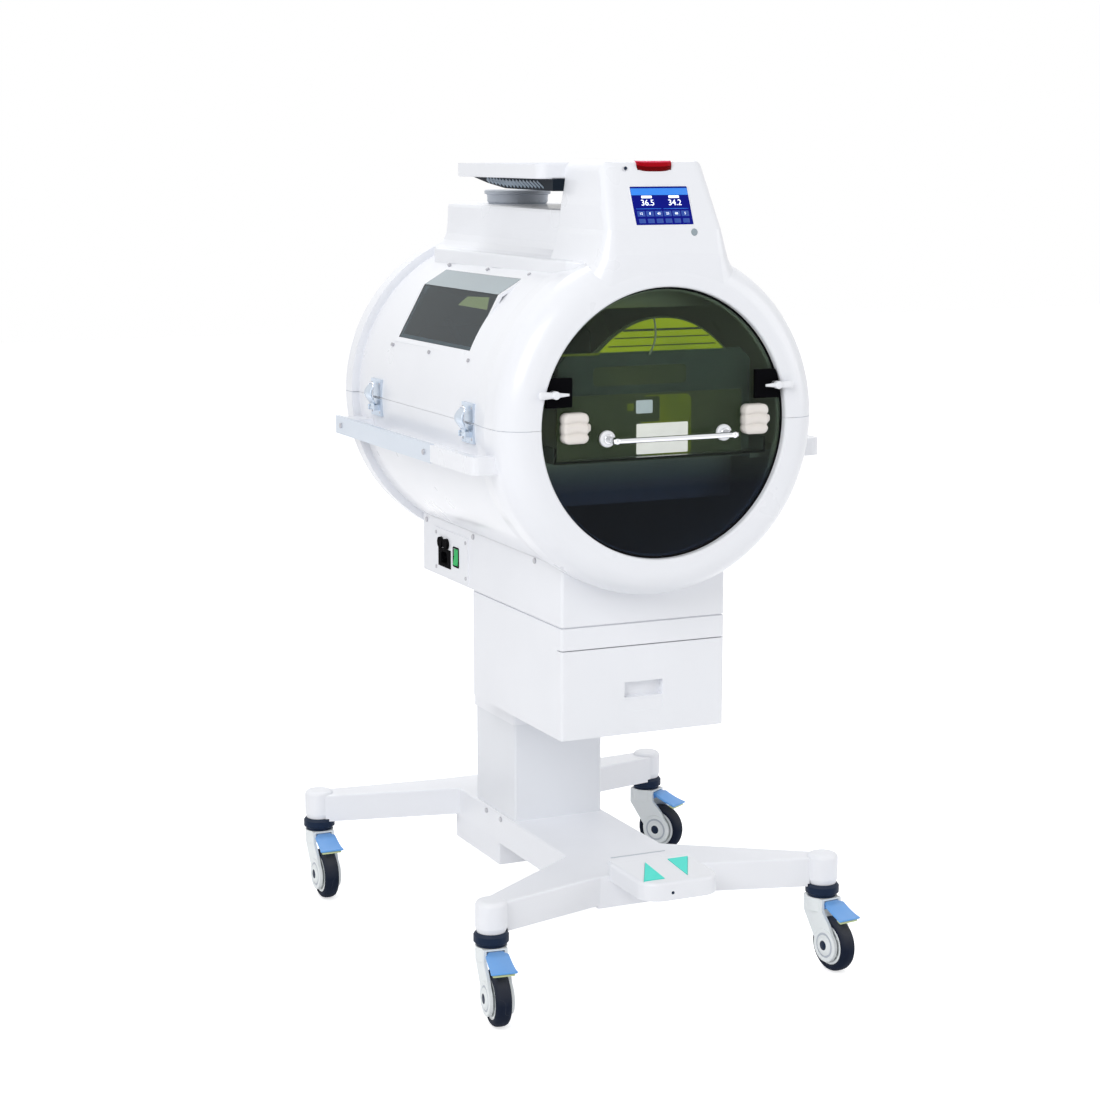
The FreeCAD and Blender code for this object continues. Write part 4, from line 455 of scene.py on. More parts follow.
def smoked_glass(name, tint, deeper, rough, clear=0.55, bend=1.45, foot=None):
    """Tinted acrylic: the tint moves to the deeper one in a slow noise, with faint smudges. A
    foot is a height in metres and a darker colour painted below it: painted shade of a dim space
    behind the glass."""
    material = bpy.data.materials.new(name)
    material.use_nodes = True
    tree = material.node_tree
    shader = tree.nodes["Principled BSDF"]
    shader.inputs["Transmission Weight"].default_value = clear
    shader.inputs["IOR"].default_value = bend
    skin = group_node(tree, SKIN, Grain_Scale=120.0, Grain_Depth=0.4)
    settled = group_node(tree, DUST, Amount=0.12)
    marks = group_node(tree, SCUFFS, Amount=0.2, Mark_Scale=16.0)
    toned = mixed(tree, skin.outputs["Variation"], tint, deeper)
    if foot:
        height, foot_shade_colour = foot
        split = tree.nodes.new("ShaderNodeSeparateXYZ")
        tree.links.new(object_place(tree), split.inputs["Vector"])
        below = math_node(tree, "SUBTRACT", height + FOOT_SHADE_FADE / 2, split.outputs["Z"])
        toned = mixed(tree, math_node(tree, "MULTIPLY", below, 1 / FOOT_SHADE_FADE, True), toned, foot_shade_colour)
    worn = mixed(tree, marks.outputs["Mask"], toned, (0.35, 0.37, 0.36))
    tree.links.new(mixed(tree, settled.outputs["Mask"], worn, (0.5, 0.5, 0.48)), shader.inputs["Base Color"])
    smears = math_node(tree, "MULTIPLY", skin.outputs["Variation"], rough * 2)
    tree.links.new(smears, shader.inputs["Roughness"])
    return material


print("acrylic recipe ready")

# %% The recipe for a lit face
def lit(name, colour, strength, other=None, scale=40.0):
    """Emission in a colour that moves to the other one in a slow noise, under a glossy skin."""
    material = bpy.data.materials.new(name)
    material.use_nodes = True
    tree = material.node_tree
    shader = tree.nodes["Principled BSDF"]
    clouds = noise_node(tree, object_place(tree), scale, 2.0)
    toned = mixed(tree, clouds, colour, other or tuple(c * 0.85 for c in colour))
    tree.links.new(toned, shader.inputs["Base Color"])
    tree.links.new(toned, shader.inputs["Emission Color"])
    shader.inputs["Emission Strength"].default_value = strength
    shader.inputs["Roughness"].default_value = 0.25
    return material


print("lit recipe ready")

# %% Glass and lit finishes
# The door's glass is painted darker below 0.935 m: painted shade of the dim space behind its lower part.
FINISHES["smoked"] = smoked_glass("smoked olive acrylic", (0.33, 0.39, 0.30), (0.28, 0.34, 0.29), 0.015,
                                  clear=0.97, bend=1.16, foot=(0.935, (0.10, 0.13, 0.18)))
FINISHES["clear"] = smoked_glass("bed acrylic", (0.30, 0.36, 0.42), (0.24, 0.31, 0.36), 0.06, clear=0.4)
WINDOW_GLASS = smoked_glass("smoked slate acrylic", (0.085, 0.14, 0.17), (0.06, 0.11, 0.14), 0.02,
                            clear=0.9, bend=1.22)
# A pale sheet for the window's flatter upper facet: painted reflection of the bright room.
FACET_REFLECTION_GLASS = smoked_glass("slate acrylic with painted reflection", (0.42, 0.52, 0.57), (0.38, 0.48, 0.53), 0.03,
                          clear=0.3, bend=1.5)
FINISHES["lamp_red"] = lit("red lamp lens", (0.66, 0.018, 0.085), 0.10, scale=60.0)
# The lens's darker middle and foot are painted shade under its lit top.
FINISHES["lamp_middle"] = lit("red lamp painted shade middle", (0.37, 0.000, 0.006), 0.05, scale=60.0)
FINISHES["lamp_dark"] = lit("red lamp painted shade foot", (0.15, 0.000, 0.001), 0.02, scale=60.0)
FINISHES["screen"] = lit("screen field", (0.000, 0.002, 0.150), 0.4, (0.000, 0.004, 0.18))
SCREEN_HEADER = lit("screen header", (0.015, 0.17, 0.62), 0.6)
SCREEN_WHITE = lit("screen figures", (0.85, 0.92, 1.0), 1.0)
SCREEN_BLUE = lit("screen fields", (0.006, 0.045, 0.27), 0.5)
# These emissions are painted light: they stand in for the room light that falls through the smoked glass on the
# bed, its card and the window's lit corner.
OLIVE_GLIMPSE = lit("lit olive glimpse", (1.0, 0.80, 0.26), 2.4, (0.80, 0.66, 0.24), 14.0)
HOOD_GLOW = lit("lit olive hood", (0.72, 0.80, 0.010), 0.9, (0.26, 0.34, 0.03), 9.0)
PANEL_GLOW = lit("olive bed panel with painted light and shade", (0.12, 0.13, 0.065), 0.45, (0.055, 0.08, 0.055), 12.0)
WINDOW_GLOW = lit("lit olive opening", (0.34, 0.37, 0.02), 0.55, (0.12, 0.16, 0.03), 18.0)
CARD_PAINTED_LIGHT = lit("white card with painted light", (0.95, 0.80, 0.95), 2.5)
SMALL_SCREEN = lit("small pale screen", (0.75, 0.74, 0.98), 1.5)
DIMMED = {
    "Specular IOR Level": {"black_plastic": 0.12, "tyre": 0.3, "dark_slate": 0.3, "switch_green": 0.3,
                           "screen": 0.1, "lamp_red": 0.2, "lamp_middle": 0.08, "lamp_dark": 0.05},
    "IOR": {"black_plastic": 1.08, "louvre_slate": 1.1, "tyre": 1.25, "dark_slate": 1.25},
}
for socket, levels in DIMMED.items():
    for word, level in levels.items():
        FINISHES[word].node_tree.nodes["Principled BSDF"].inputs[socket].default_value = level
print("glass and lit finishes ready")

# %% [markdown]
# ## Dressing the solids
# Every solid of the record names a slot, and each slot has one finish. The window alone takes a
# glass of its own, since it looks bluer than the door. New pieces are dressed in the same way.


# %% The finish of every solid
def dress(piece, material):
    """The piece in one material only."""
    piece.data.materials.clear()
    piece.data.materials.append(material)
    return piece


def add(name, points, body, slot, material=None, **choices):
    """A new piece from a grid, in the given material or else in its slot's finish."""
    return dress(from_grid(name, points, body, slot, **choices), material or FINISHES[slot])


for entry in frame["record"]["subparts"]:
    if entry["material_slot"] in FINISHES:
        dress(nodes[entry["node"]], FINISHES[entry["material_slot"]])
nodes["window_pane"].data.materials[0] = WINDOW_GLASS

# %% [markdown]
# ## Caster wheels
# A hospital caster has a soft slate tyre bonded on a pale hub, with discs over its bearing. Both
# are round, so a turned profile gives each of them whole, the tyre with a rounded crown. The
# discs sit on the fork, a rim round a darker groove and a boss with a cap over the axle. Each
# wheel stands at its own swing angle, so its place and axis are read from the record's joint.

# %% The profiles of a wheel, as (radius, height along the axle)
TYRE = [(38, -14.0), (41, -14.6), (44.5, -13.6), (47.5, -11.2), (49.3, -7.5), (49.9, -3.2), (49.95, 0),
        (49.9, 3.2), (49.3, 7.5), (47.5, 11.2), (44.5, 13.6), (41, 14.6), (38, 14.0), (36.5, 12),
        (36.5, -12), (38, -14.0)]
HUB = [(5.1, -12.5), (15, -12.5), (16.5, -9.5), (29, -9.5), (31, -12.8), (36.5, -13.4), (37.6, -11.5),
       (37.6, 11.5), (36.5, 13.4), (31, 12.8), (29, 9.5), (16.5, 9.5), (15, 12.5), (5.1, 12.5), (5.1, -12.5)]
DISC_PARTS = (
    ("rim", "fork_grey", [(20.4, -0.3), (30.6, -0.3), (30.6, 0.7), (29.6, 1.5), (24.2, 1.5), (23.0, 0.5),
                          (20.4, 0.4), (20.4, -0.3)]),
    ("groove", "vent_grey", [(18.4, -0.3), (24.0, -0.3), (24.0, 0.55), (18.4, 0.55), (18.4, -0.3)]),
    ("boss", "fork_grey", [(8.0, -0.3), (19.4, -0.3), (19.4, 1.3), (18.6, 2.0), (15.6, 2.0), (15.0, 2.9),
                           (14.2, 3.4), (9.4, 3.4), (8.0, 3.2), (8.0, -0.3)]),
    ("axle_cap", "dark_slate", [(0, 3.0), (9.1, 3.0), (9.1, 3.3), (8.5, 3.8), (0, 3.8)]),
)
DISC_SEAT = 21.7                 # from the wheel's middle to the fork's face
SPOKES, RIB_RADIUS, RIB_SEAT, RIB_SIZE = 5, 22.5, 10.2, (13, 3.4, 3.0)
CORNERS = ("front_left", "front_right", "rear_left", "rear_right")
joints = {joint["name"]: joint for joint in frame["joints"]}


def joint_spot(name):
    """A joint's place in millimetres."""
    return np.array(joints[name]["pos_m"]) / MM


print("tyre", 2 * max(radius for radius, height in TYRE), "across")

# %% Tyre, hub, ribs and discs of each wheel
for corner in CORNERS:
    centre, axis = joint_spot("roll_" + corner), np.array(joints["roll_" + corner]["axis"])
    body = "wheel_" + corner
    tyre = add("tyre_" + corner, turned(centre, axis, TYRE, 72), body, "tyre")
    add("hub_" + corner, turned(centre, axis, HUB), body, "fork_grey")
    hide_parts("caster_wheel_" + corner)
    side, up, along = frame_for(axis)
    for face in (-1, 1):
        for spoke in range(SPOKES):
            turn = 2 * np.pi * spoke / SPOKES
            out = np.cos(turn) * side + np.sin(turn) * up
            middle = centre + out * RIB_RADIUS + along * face * RIB_SEAT
            rib = pillow(middle, out, np.cross(along, out), RIB_SIZE, 1.2, 0.8, 3)
            add(f"hub_rib_{corner}_{face}_{spoke}", rib, body, "fork_grey")
    for face in (-1, 1):
        seat = centre + along * face * DISC_SEAT
        for word, slot, profile in DISC_PARTS:
            add(f"disc_{word}_{corner}_{face}", turned(seat, along * face, profile), "fork_" + corner, slot)
print("wheels dressed")

# %% [markdown]
# ## Brake pedals
# Each fork carries a blue pedal that slopes down over the wheel and widens to its front edge,
# with a pale strip under that edge and a short barrel where it turns. Pedal and strip are
# rounded sections set one after the other along the way out from the fork: a row of stations
# says a bent, widening form in fewer numbers than a cut block would need.

# %% The stations of a pedal: how far out, half width, height of the top, thickness
PEDAL = [(17, 13.0, 121.5, 7.5), (24, 14.5, 126.5, 8.0), (29, 15.2, 129.0, 8.8), (36, 15.6, 129.0, 9.0),
         (39, 21.0, 127.6, 8.0), (48, 21.4, 122.6, 6.4), (60, 21.8, 117.2, 5.2), (72, 22.2, 113.0, 4.6),
         (79, 23.2, 110.8, 4.0), (82.5, 24.0, 109.8, 3.6), (84.0, 23.0, 109.4, 3.0)]
LIME_STEP = [(69, 18.5, 107.6, 3.4), (75, 19.5, 106.2, 4.0), (80, 20.0, 105.2, 4.0), (81.5, 19.0, 104.8, 3.2)]
BARREL_OUT, BARREL_Z, BARREL_RADIUS, BARREL_HALF = 21, 117.0, 5.4, 15.6


def pedal_rings(root, out, side, stations):
    """A rounded section at each station, square to the way out and closed at both ends."""
    rings = []
    for reach, half, top, thick in stations:
        flat = rounded_outline(half, thick / 2, min(thick, half) * 0.42, 3)
        rings.append(root + out * reach + flat[:, :1] * side + (flat[:, 1:] + top - thick / 2) * UP)
    return capped(np.array(rings))


print("pedal reaches", PEDAL[-1][0], "out from its fork")

# %% Pedal, strip and barrel of each caster
barrel_profile = [(0, 0), (BARREL_RADIUS, 0), (BARREL_RADIUS, 2 * BARREL_HALF), (0, 2 * BARREL_HALF)]
for corner in CORNERS:
    root, hub = (joint_spot(word + corner) * (1, 1, 0) for word in ("swivel_", "roll_"))
    out = (hub - root) / np.linalg.norm(hub - root)
    side = np.cross(UP, out)
    body = "brake_" + corner
    pedal = add("pedal_" + corner, pedal_rings(root, out, side, PEDAL), body, "brake_blue")
    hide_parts("brake_pedal_" + corner)
    add("pedal_step_" + corner, pedal_rings(root, out, side, LIME_STEP), body, "brake_blue", FINISHES["lime"])
    foot = root + out * BARREL_OUT + UP * BARREL_Z - side * BARREL_HALF
    add("pedal_barrel_" + corner, turned(foot, side, barrel_profile, 24), body, "brake_blue")
print("pedals dressed")

# %% [markdown]
# ## The mattress
# The bed carries a thin covered foam pad. Its top is crowned, its sides pull in between the
# corners and a piped seam runs round its edge. The pad is a grid over the rectangle whose
# thickness falls off near the rim, so it is a closed soft form without a simulation.


# %% A crowned pad
def crowned_pad(low, high, crown=4.0, across=61, along=97, power=18.0):
    """Top and bottom sheets meet at the rim: half the thickness times (1 - r^power)^(1/3),
    where r is the larger of the two distances from the middle, plus a low crown on top."""
    u = np.linspace(-1, 1, across)[:, None]
    v = np.linspace(-1, 1, along)[None, :]
    rim = np.clip(1 - np.maximum(np.abs(u), np.abs(v)) ** power, 0, 1) ** (1 / 3)
    middle, half = (low + high) / 2, (high - low) / 2
    x = middle[0] + half[0] * u * (1 - 0.012 * (1 - v ** 2) * np.abs(u))
    y = middle[1] + half[1] * v * (1 - 0.008 * (1 - u ** 2))
    swell = crown * (1 - u ** 2) * (1 - v ** 2)
    thin_half, thin_middle = half[2] - crown / 2, middle[2] - crown / 2
    levels = (thin_middle + thin_half * rim + swell, thin_middle - thin_half * rim)
    return [np.stack(np.broadcast_arrays(x, y, z), axis=-1) for z in levels]


print("pad shape ready")

# %% The cover cloth
def cloth_finish(name, colour, scale):
    """A plain weave: the product of two crossed waves on Object coordinates, with a soft sheen."""
    material = finish(name, colour, 0.75, grain=500.0, depth=1.5, scuff=0.0, dust=0.1)
    tree = material.node_tree
    tree.nodes["Principled BSDF"].inputs["Sheen Weight"].default_value = 0.25
    bands = []
    for direction in ("X", "Y"):
        wave = tree.nodes.new("ShaderNodeTexWave")
        wave.bands_direction = direction
        wave.inputs["Scale"].default_value = scale
        tree.links.new(object_place(tree), wave.inputs["Vector"])
        bands.append(wave.outputs["Fac"])
    add_bump(tree, math_node(tree, "MULTIPLY", *bands), 0.25, 0.0003)
    return material


print("cloth recipe ready")

# %% The pad and its seam
FINISHES["mattress"] = cloth_finish("white cover cloth", (0.78, 0.81, 0.85), 350.0)
SEAM_INSET, SEAM_DROP, SEAM_CORNER, SEAM_RADIUS = 1.5, 2.0, 6, 1.3
low, high = in_mm(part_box("mattress"))
sheets = crowned_pad(low, high)
rows, columns = sheets[0].shape[:2]
quads = grid_faces(rows, columns, False, False)
pad = finished("mattress_pad", np.concatenate([sheet.reshape(-1, 3) for sheet in sheets]),
               np.concatenate([quads, quads[:, ::-1] + rows * columns]), "bed")
dress(pad, FINISHES["mattress"])
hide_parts("mattress")
outline = rounded_outline(*((high - low)[:2] / 2 - SEAM_INSET), SEAM_CORNER, 10)
seam_path = np.pad(outline, ((0, 0), (0, 1))) + (low + high) / 2 - SEAM_DROP * UP
add("mattress_seam", swept(seam_path, circle(SEAM_RADIUS, 8), True), "bed", "mattress", wrap_rows=True)
print("mattress", (high - low).round(1))

# %% [markdown]
# ## The screen's picture
# The screen is a lit panel behind a thin bezel. Its header bar, two large readings and a row of
# small fields are thin raised shapes laid on the panel's slope. The slope's faces come from the
# panel itself, so the picture stays on it if the head's depth or the panel's height changes.


# %% A place on the sloping screen
def mesh_spots(mesh):
    """The places of a mesh's points, one row each."""
    spots = np.empty(len(mesh.vertices) * 3)
    mesh.vertices.foreach_get("co", spots)
    return spots.reshape(-1, 3)


HEAD_SLOPE = (28.0, 64.0)        # the head's front goes back 28 as it rises 64
SCREEN_RUN = np.array([0.0, *HEAD_SLOPE]) / math.hypot(*HEAD_SLOPE)
SCREEN_OUT = np.array([0.0, -SCREEN_RUN[2], SCREEN_RUN[1]])
screen_spots = mesh_spots(nodes["display_screen"].data) / MM
SCREEN_FACE = (screen_spots @ SCREEN_OUT).max()
front_spots = screen_spots[(screen_spots @ SCREEN_OUT) > SCREEN_FACE - 0.05]
SCREEN_LOW, SCREEN_HIGH = (front_spots @ SCREEN_RUN).min(), (front_spots @ SCREEN_RUN).max()
SCREEN_HALF = front_spots[:, 0].max()
print("screen face", round(SCREEN_HIGH - SCREEN_LOW, 1), "by", round(2 * SCREEN_HALF, 1), "mm")


def on_screen(across, rise, proud=0.15):
    """The point that far across, up the slope from the screen's foot, and in front of it."""
    return (np.array([1.0, 0, 0]) * across + SCREEN_RUN * (SCREEN_LOW + rise)
            + SCREEN_OUT * (SCREEN_FACE + proud))


# %% Plates and figures on the screen
def screen_plate(name, across, rise, width, height, material):
    """A thin rounded plate on the slope."""
    plate = pillow(on_screen(across, rise, 0.1), ACROSS, SCREEN_RUN, (width, height, 0.4), 0.8, 0.15, 3)
    add(name, plate, "canopy", "screen", material)


def figures(name, text, size, across, rise, proud):
    """A text curve made a mesh: its x runs across the screen, its y up the slope, its z out."""
    curve = bpy.data.curves.new(name, "FONT")
    curve.body, curve.size, curve.extrude = text, size, 0.12
    curve.align_x, curve.align_y = "CENTER", "CENTER"
    holder = bpy.data.objects.new(name + "_line", curve)
    bpy.context.scene.collection.objects.link(holder)
    bpy.context.view_layer.update()
    flat = bpy.data.meshes.new_from_object(holder.evaluated_get(bpy.context.evaluated_depsgraph_get()))
    bpy.data.objects.remove(holder)
    x, y, z = np.hsplit(mesh_spots(flat), 3)
    laid = (on_screen(across, rise, proud) + x * np.cross(SCREEN_RUN, SCREEN_OUT)
            + y * SCREEN_RUN + z * SCREEN_OUT)
    mesh = bpy.data.meshes.new(name)
    mesh.from_pydata((laid * MM).tolist(), [], [list(polygon.vertices) for polygon in flat.polygons])
    dress(placed(name, mesh, "canopy"), SCREEN_WHITE)


print("screen plates slope", round(math.degrees(math.atan2(*HEAD_SLOPE)), 1), "degrees back")

# %% The header, the readings and the fields
READING_ACROSS, FIELD_STEP, FIELD_RISE = 26, 16.8, 20.5
screen_plate("screen_header", 0, 60.5, 108.4, 12.4, SCREEN_HEADER)
for number, text in ((-1, "36.5"), (1, "34.2")):
    across = number * READING_ACROSS
    screen_plate(f"screen_tab_{number}", across, 51, 20, 4.5, SCREEN_WHITE)
    figures(f"screen_reading_{number}", text, 15, across, 40, 0.35)
    screen_plate(f"screen_line_{number}", across, 29.5, 48, 0.9, SCREEN_HEADER)
for column, value in enumerate((12, 8, 40, 25, 60, 5)):
    across = (column - 2.5) * FIELD_STEP
    screen_plate(f"screen_field_{column}", across, FIELD_RISE, 14.5, 10, SCREEN_BLUE)
    figures(f"screen_value_{column}", str(value), 6, across, FIELD_RISE, 0.4)
    screen_plate(f"screen_key_{column}", across, 7.5, 12.5, 8, SCREEN_BLUE)
BEZEL_MARGIN, BEZEL_RADIUS = 1.2, 1.3
screen_middle = (SCREEN_HIGH - SCREEN_LOW) / 2
bezel_loop = rounded_outline(SCREEN_HALF + BEZEL_MARGIN, screen_middle + BEZEL_MARGIN, 3.0, 5)
bezel_path = np.stack([on_screen(x, screen_middle + y, -0.6) for x, y in bezel_loop])
add("screen_bezel", swept(bezel_path, circle(BEZEL_RADIUS, 8), True), "canopy", "cap_white", wrap_rows=True)
print("screen's picture laid")

# %% [markdown]
# ## Seals and trims
# A round rubber seal frames the smoked door, and a thin grey seal shows between the two shells.
# The shells' joint runs along the drum's side at the height of its axis. Its path is read from
# the lower shell itself: for each place along the drum, the widest point of the shell's top edge.
# A thin cord swept along that path follows the shell even where the drum swells or narrows.


# %% The door's seal and the joint's seal
DRUM_Z = 1019.0
DRUM_SIDE = 240                  # points of the shell farther out than this are its outer edge
DOOR_SEAL = [(231.2, -0.6), (232.2, 1.0), (233.6, 1.4), (234.7, 0.8), (234.7, -1.0), (231.2, -1.0),
             (231.2, -0.6)]
door_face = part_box("door_glass")[0].y / MM
add("door_seal", turned((0, door_face, DRUM_Z), FORWARD, DOOR_SEAL, 160), "bed", "black_plastic")


def joint_path(side, spots):
    """The widest point of the lower shell's top edge at each place along one side."""
    edge = spots[(spots[:, 2] > DRUM_Z - 1.0) & (spots[:, 0] * side > DRUM_SIDE)]
    path = []
    for y in np.unique(np.round(edge[:, 1], 1)):
        near = edge[np.abs(edge[:, 1] - y) < 0.06, 0]
        path.append((near[np.abs(near).argmax()] + side * 0.1, y, DRUM_Z - 0.1))
    return np.array(path)


lower_spots = mesh_spots(nodes["lower_shell"].data) / MM
for side in (-1, 1):
    add(f"joint_line_{side}", swept(joint_path(side, lower_spots), circle(0.55, 6)), "carriage", "vent_grey")
print("seals made")

# %% [markdown]
# ## What shows behind the smoked door
# The bed's front guard stands just behind the door. Its lower part is a lit olive panel with a
# brighter opening in which a white card hangs, and a small pale screen sits on the panel's left.
# A low arched hood stands on the guard and catches most of the light, with a lead hanging over
# it. All but the lead are thin plates on the guard's face, since the dark glass hides their depth.
# Their brightness is painted light: emission stands in for the room light that reaches them
# through the glass, and their darker bands and patches are painted shade.

# %% Plates on the guard, each between two corners given as across and height
GUARD_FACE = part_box("bed_card")[1].y / MM
GUARD_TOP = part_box("bed_frame")[1].z / MM


def behind_door(name, low, high, material, proud, corner):
    """A thin rounded plate on the guard's face, proud of it by the given distance."""
    (left, bottom), (right, top) = low, high
    centre = ((left + right) / 2, GUARD_FACE - proud, (bottom + top) / 2)
    plate = pillow(centre, ACROSS, RISE, (right - left, top - bottom, 0.3), corner, 0.1, 4)
    add(name, plate, "bed", "clear", material)


behind_door("olive_panel", (-188, 953), (170, 1070), PANEL_GLOW, 0.4, 3.0)
behind_door("olive_opening", (-28, 957), (70, 1066), WINDOW_GLOW, 0.9, 12.0)
behind_door("olive_opening_shade", (-28, 1020), (8, 1064), PANEL_GLOW, 1.3, 4.0)
behind_door("small_screen", (-38, 1035), (-6, 1058), SMALL_SCREEN, 1.6, 2.5)
behind_door("small_screen_key", (-55, 1040), (-42, 1053), WINDOW_GLOW, 0.9, 2.0)
behind_door("guard_strip", (-120, 1085), (60, 1118), PANEL_GLOW, 0.3, 8.0)
print("plates on the guard at y", round(GUARD_FACE, 1))

# %% The hanging card, as large as the card's solid
CARD_SHIFT, CARD_PROUD = (13.0, 0, -2.0), 2.1
card_low, card_high = in_mm(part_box("bed_card"))
card_size = (card_high[0] - card_low[0], card_high[2] - card_low[2], 1.0)
card_place = (card_low + card_high) / 2 + CARD_SHIFT
card_place[1] = GUARD_FACE - CARD_PROUD
card_block = pillow(card_place, ACROSS, RISE, card_size, 2.0, 0.3, 4)
card = add("hanging_card", card_block, "bed", "clear", CARD_PAINTED_LIGHT)
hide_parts("bed_card")
print("card", [round(side, 1) for side in card_size])


# %% The arched hood, its bands of painted shade and the lead
def arched_hood(left, right, rise, thickness=2.4, count=40):
    """A plate on the guard's top edge whose upper edge is 1 - |u|^2.2 times the rise."""
    u = np.linspace(-1, 1, count)
    x = (left + right) / 2 + u * (right - left) / 2
    foot = np.full(count, GUARD_TOP - 1)
    top = GUARD_TOP - 1 + rise * (1 - np.abs(u) ** 2.2) + 1.2
    corners = []
    for side, height in ((-1, foot), (-1, top), (1, top), (1, foot)):
        y = np.full(count, GUARD_FACE + side * thickness / 2 + 2)
        corners.append(np.stack([x, y, height], axis=-1))
    return capped(np.stack(corners, axis=1))


HOOD_SHADE_BANDS = ((34.0, 38.0, 76), (22.0, 24.0, 92), (8.0, 10.0, 104))  # foot, top, half width
HOOD_MIDDLE = 12
add("hood_arch", arched_hood(-118, 137, 58), "bed", "clear", PANEL_GLOW, smooth=False)
add("hood_light", arched_hood(-108, 132, 55, 4.0), "bed", "clear", HOOD_GLOW, smooth=False)
# Darker bands across the lit hood are painted shade.
for number, (low, high, half) in enumerate(HOOD_SHADE_BANDS):
    middle = (HOOD_MIDDLE, GUARD_FACE - 1.4, GUARD_TOP + (low + high) / 2)
    band = pillow(middle, ACROSS, RISE, (2 * half, high - low, 0.6), 1, 0.2, 3)
    add(f"hood_shade_band_{number}", band, "bed", "clear", PANEL_GLOW)
# A bright strip along the guard's top edge is a painted highlight.
edge_highlight = pillow((-150, GUARD_FACE - 0.6, GUARD_TOP - 2.5), ACROSS, RISE, (84, 4, 0.8), 1.5, 0.3, 3)
add("guard_edge_highlight", edge_highlight, "bed", "clear", WINDOW_GLOW)
LEAD_TOP, LEAD_DROP, LEAD_RADIUS = 56, 62, 1.7
fall = np.linspace(0, 1, 24)
lead_path = np.stack([-5 - 9 * fall ** 3 + 4 * np.sin(fall * 3), np.full(24, GUARD_FACE - 2.6),
                      GUARD_TOP + LEAD_TOP - LEAD_DROP * fall], axis=1)
add("sensor_lead", swept(lead_path, circle(LEAD_RADIUS, 10)), "bed", "cap_white")
print("what shows behind the door made")

# %% [markdown]
# ## Handle, turn knobs and swing levers on the door
# The bed is pulled out by a polished rod on two posts, each standing on a white disc. Two square
# ribbed knobs lock the door and two slim white levers swing over its edge. The knob is a polar
# grid: the square outline shrinks to the middle while its depth follows a rounded shoulder, and
# two smooth grooves are pressed into its front and sides.

# %% The handle
DOOR_FRONT = -386.0
HANDLE_MIDDLE, HANDLE_HALF, HANDLE_Z, HANDLE_OUT = 4.0, 113.0, 998.4, 41.0
ROD_RADIUS, ROD_OVERHANG, DISC_THICK = 4.7, 6.5, 8.0
for side in (-1, 1):
    x = HANDLE_MIDDLE + side * HANDLE_HALF
    foot = (x, DOOR_FRONT, HANDLE_Z)
    add(f"handle_disc_{side}", turned(foot, FORWARD, domed(14.4, DISC_THICK, 3.5)), "bed", "cap_white")
    add(f"handle_post_{side}", turned(foot, FORWARD, domed(6.0, 46.8, 4.5), 32), "bed", "chrome")
    ring = turned((x, DOOR_FRONT - DISC_THICK, HANDLE_Z), FORWARD, domed(8.4, 2.4, 1.2), 32)
    add(f"handle_ring_{side}", ring, "bed", "chrome")
rod_x = HANDLE_MIDDLE + np.linspace(-1, 1, 40) * (HANDLE_HALF + ROD_OVERHANG)
rod_path = np.stack([rod_x, np.full(40, DOOR_FRONT - HANDLE_OUT), np.full(40, HANDLE_Z)], axis=1)
rod = add("handle_rod", swept(rod_path, circle(ROD_RADIUS, 24)), "bed", "chrome")
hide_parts("door_handle")
print("handle made")


# %% A ribbed turn knob
def ribbed_knob(centre, half=23.2, tall=26.2, corner=10.5, depth=22.0, shoulder=6.0):
    """Scale the rounded square by r. Outside 1 - shoulder/half the depth drops along a quarter
    circle; grooves are two smooth dips exp(-(z/width)^2) across the height."""
    outline = even_steps(rounded_outline(half, tall, corner, 12), 120)
    inner = 1 - shoulder / half
    bend = np.sin(np.linspace(0.2, np.pi / 2, 9))
    r = np.concatenate([np.linspace(0, inner, 26), inner + (1 - inner) * bend])
    drop = np.clip((r - inner) / (1 - inner), 0, 1)
    height = depth - shoulder * (1 - np.sqrt(np.clip(1 - drop ** 2, 0, 1)))
    r, height = np.append(r, [1.0, 1.0, 0.0]), np.append(height, [depth * 0.45, 0.0, 0.0])
    x = r[:, None] * outline[None, :, 0]
    z = r[:, None] * outline[None, :, 1]
    groove_depth, groove_width = 3.6, 2.8
    dip = sum(np.exp(-((z - middle - 1.2 * np.cos(x / 7)) / groove_width) ** 2) for middle in (-9.5, 8.5))
    raised = np.clip(height[:, None] / depth, 0, 1)
    y = height[:, None] - groove_depth * dip * raised ** 2
    x = x * (1 - 0.07 * dip * np.clip(np.abs(x) / half - 0.35, 0, 1) / 0.65)
    return np.asarray(centre, float) + np.stack([x, -y, z], axis=-1)


KNOB_X, KNOB_Z = 173.8, 1020.5
for word, side in (("left", -1), ("right", 1)):
    body = "knob_" + word
    knob = add("knob_grip_" + word, ribbed_knob((side * KNOB_X, DOOR_FRONT - 0.4, KNOB_Z)), body, "cream")
    tip = pillow((side * KNOB_X + 24.2, DOOR_FRONT - 8.0, KNOB_Z), ACROSS, RISE, (9.5, 14, 15), 4.2, 3, 4)
    add("knob_tip_" + word, tip, body, "cream")
    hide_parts("door_knob_" + word)
print("knobs made")


# %% The swing levers
def tapered_lever(side, foot=245.5, length=56.0, y=-407.5, z=1079.0):
    """Ellipses that shrink evenly from the foot to the tip, with a round end at the foot."""
    span = np.linspace(0, 1, 28)[:, None]
    rounding = np.sqrt(np.clip(1 - (2 * np.clip(0.5 - span * 6, 0, 1)) ** 2, 0.02, 1))
    half_y, half_z = 4.3 * (1 - 0.45 * span) * rounding, 7.8 * (1 - 0.72 * span) * rounding
    turn = np.linspace(0, 2 * np.pi, 20, endpoint=False)
    return capped(np.stack(np.broadcast_arrays(side * (foot - length * span), y + half_y * np.cos(turn),
                                               z + half_z * np.sin(turn)), axis=-1))


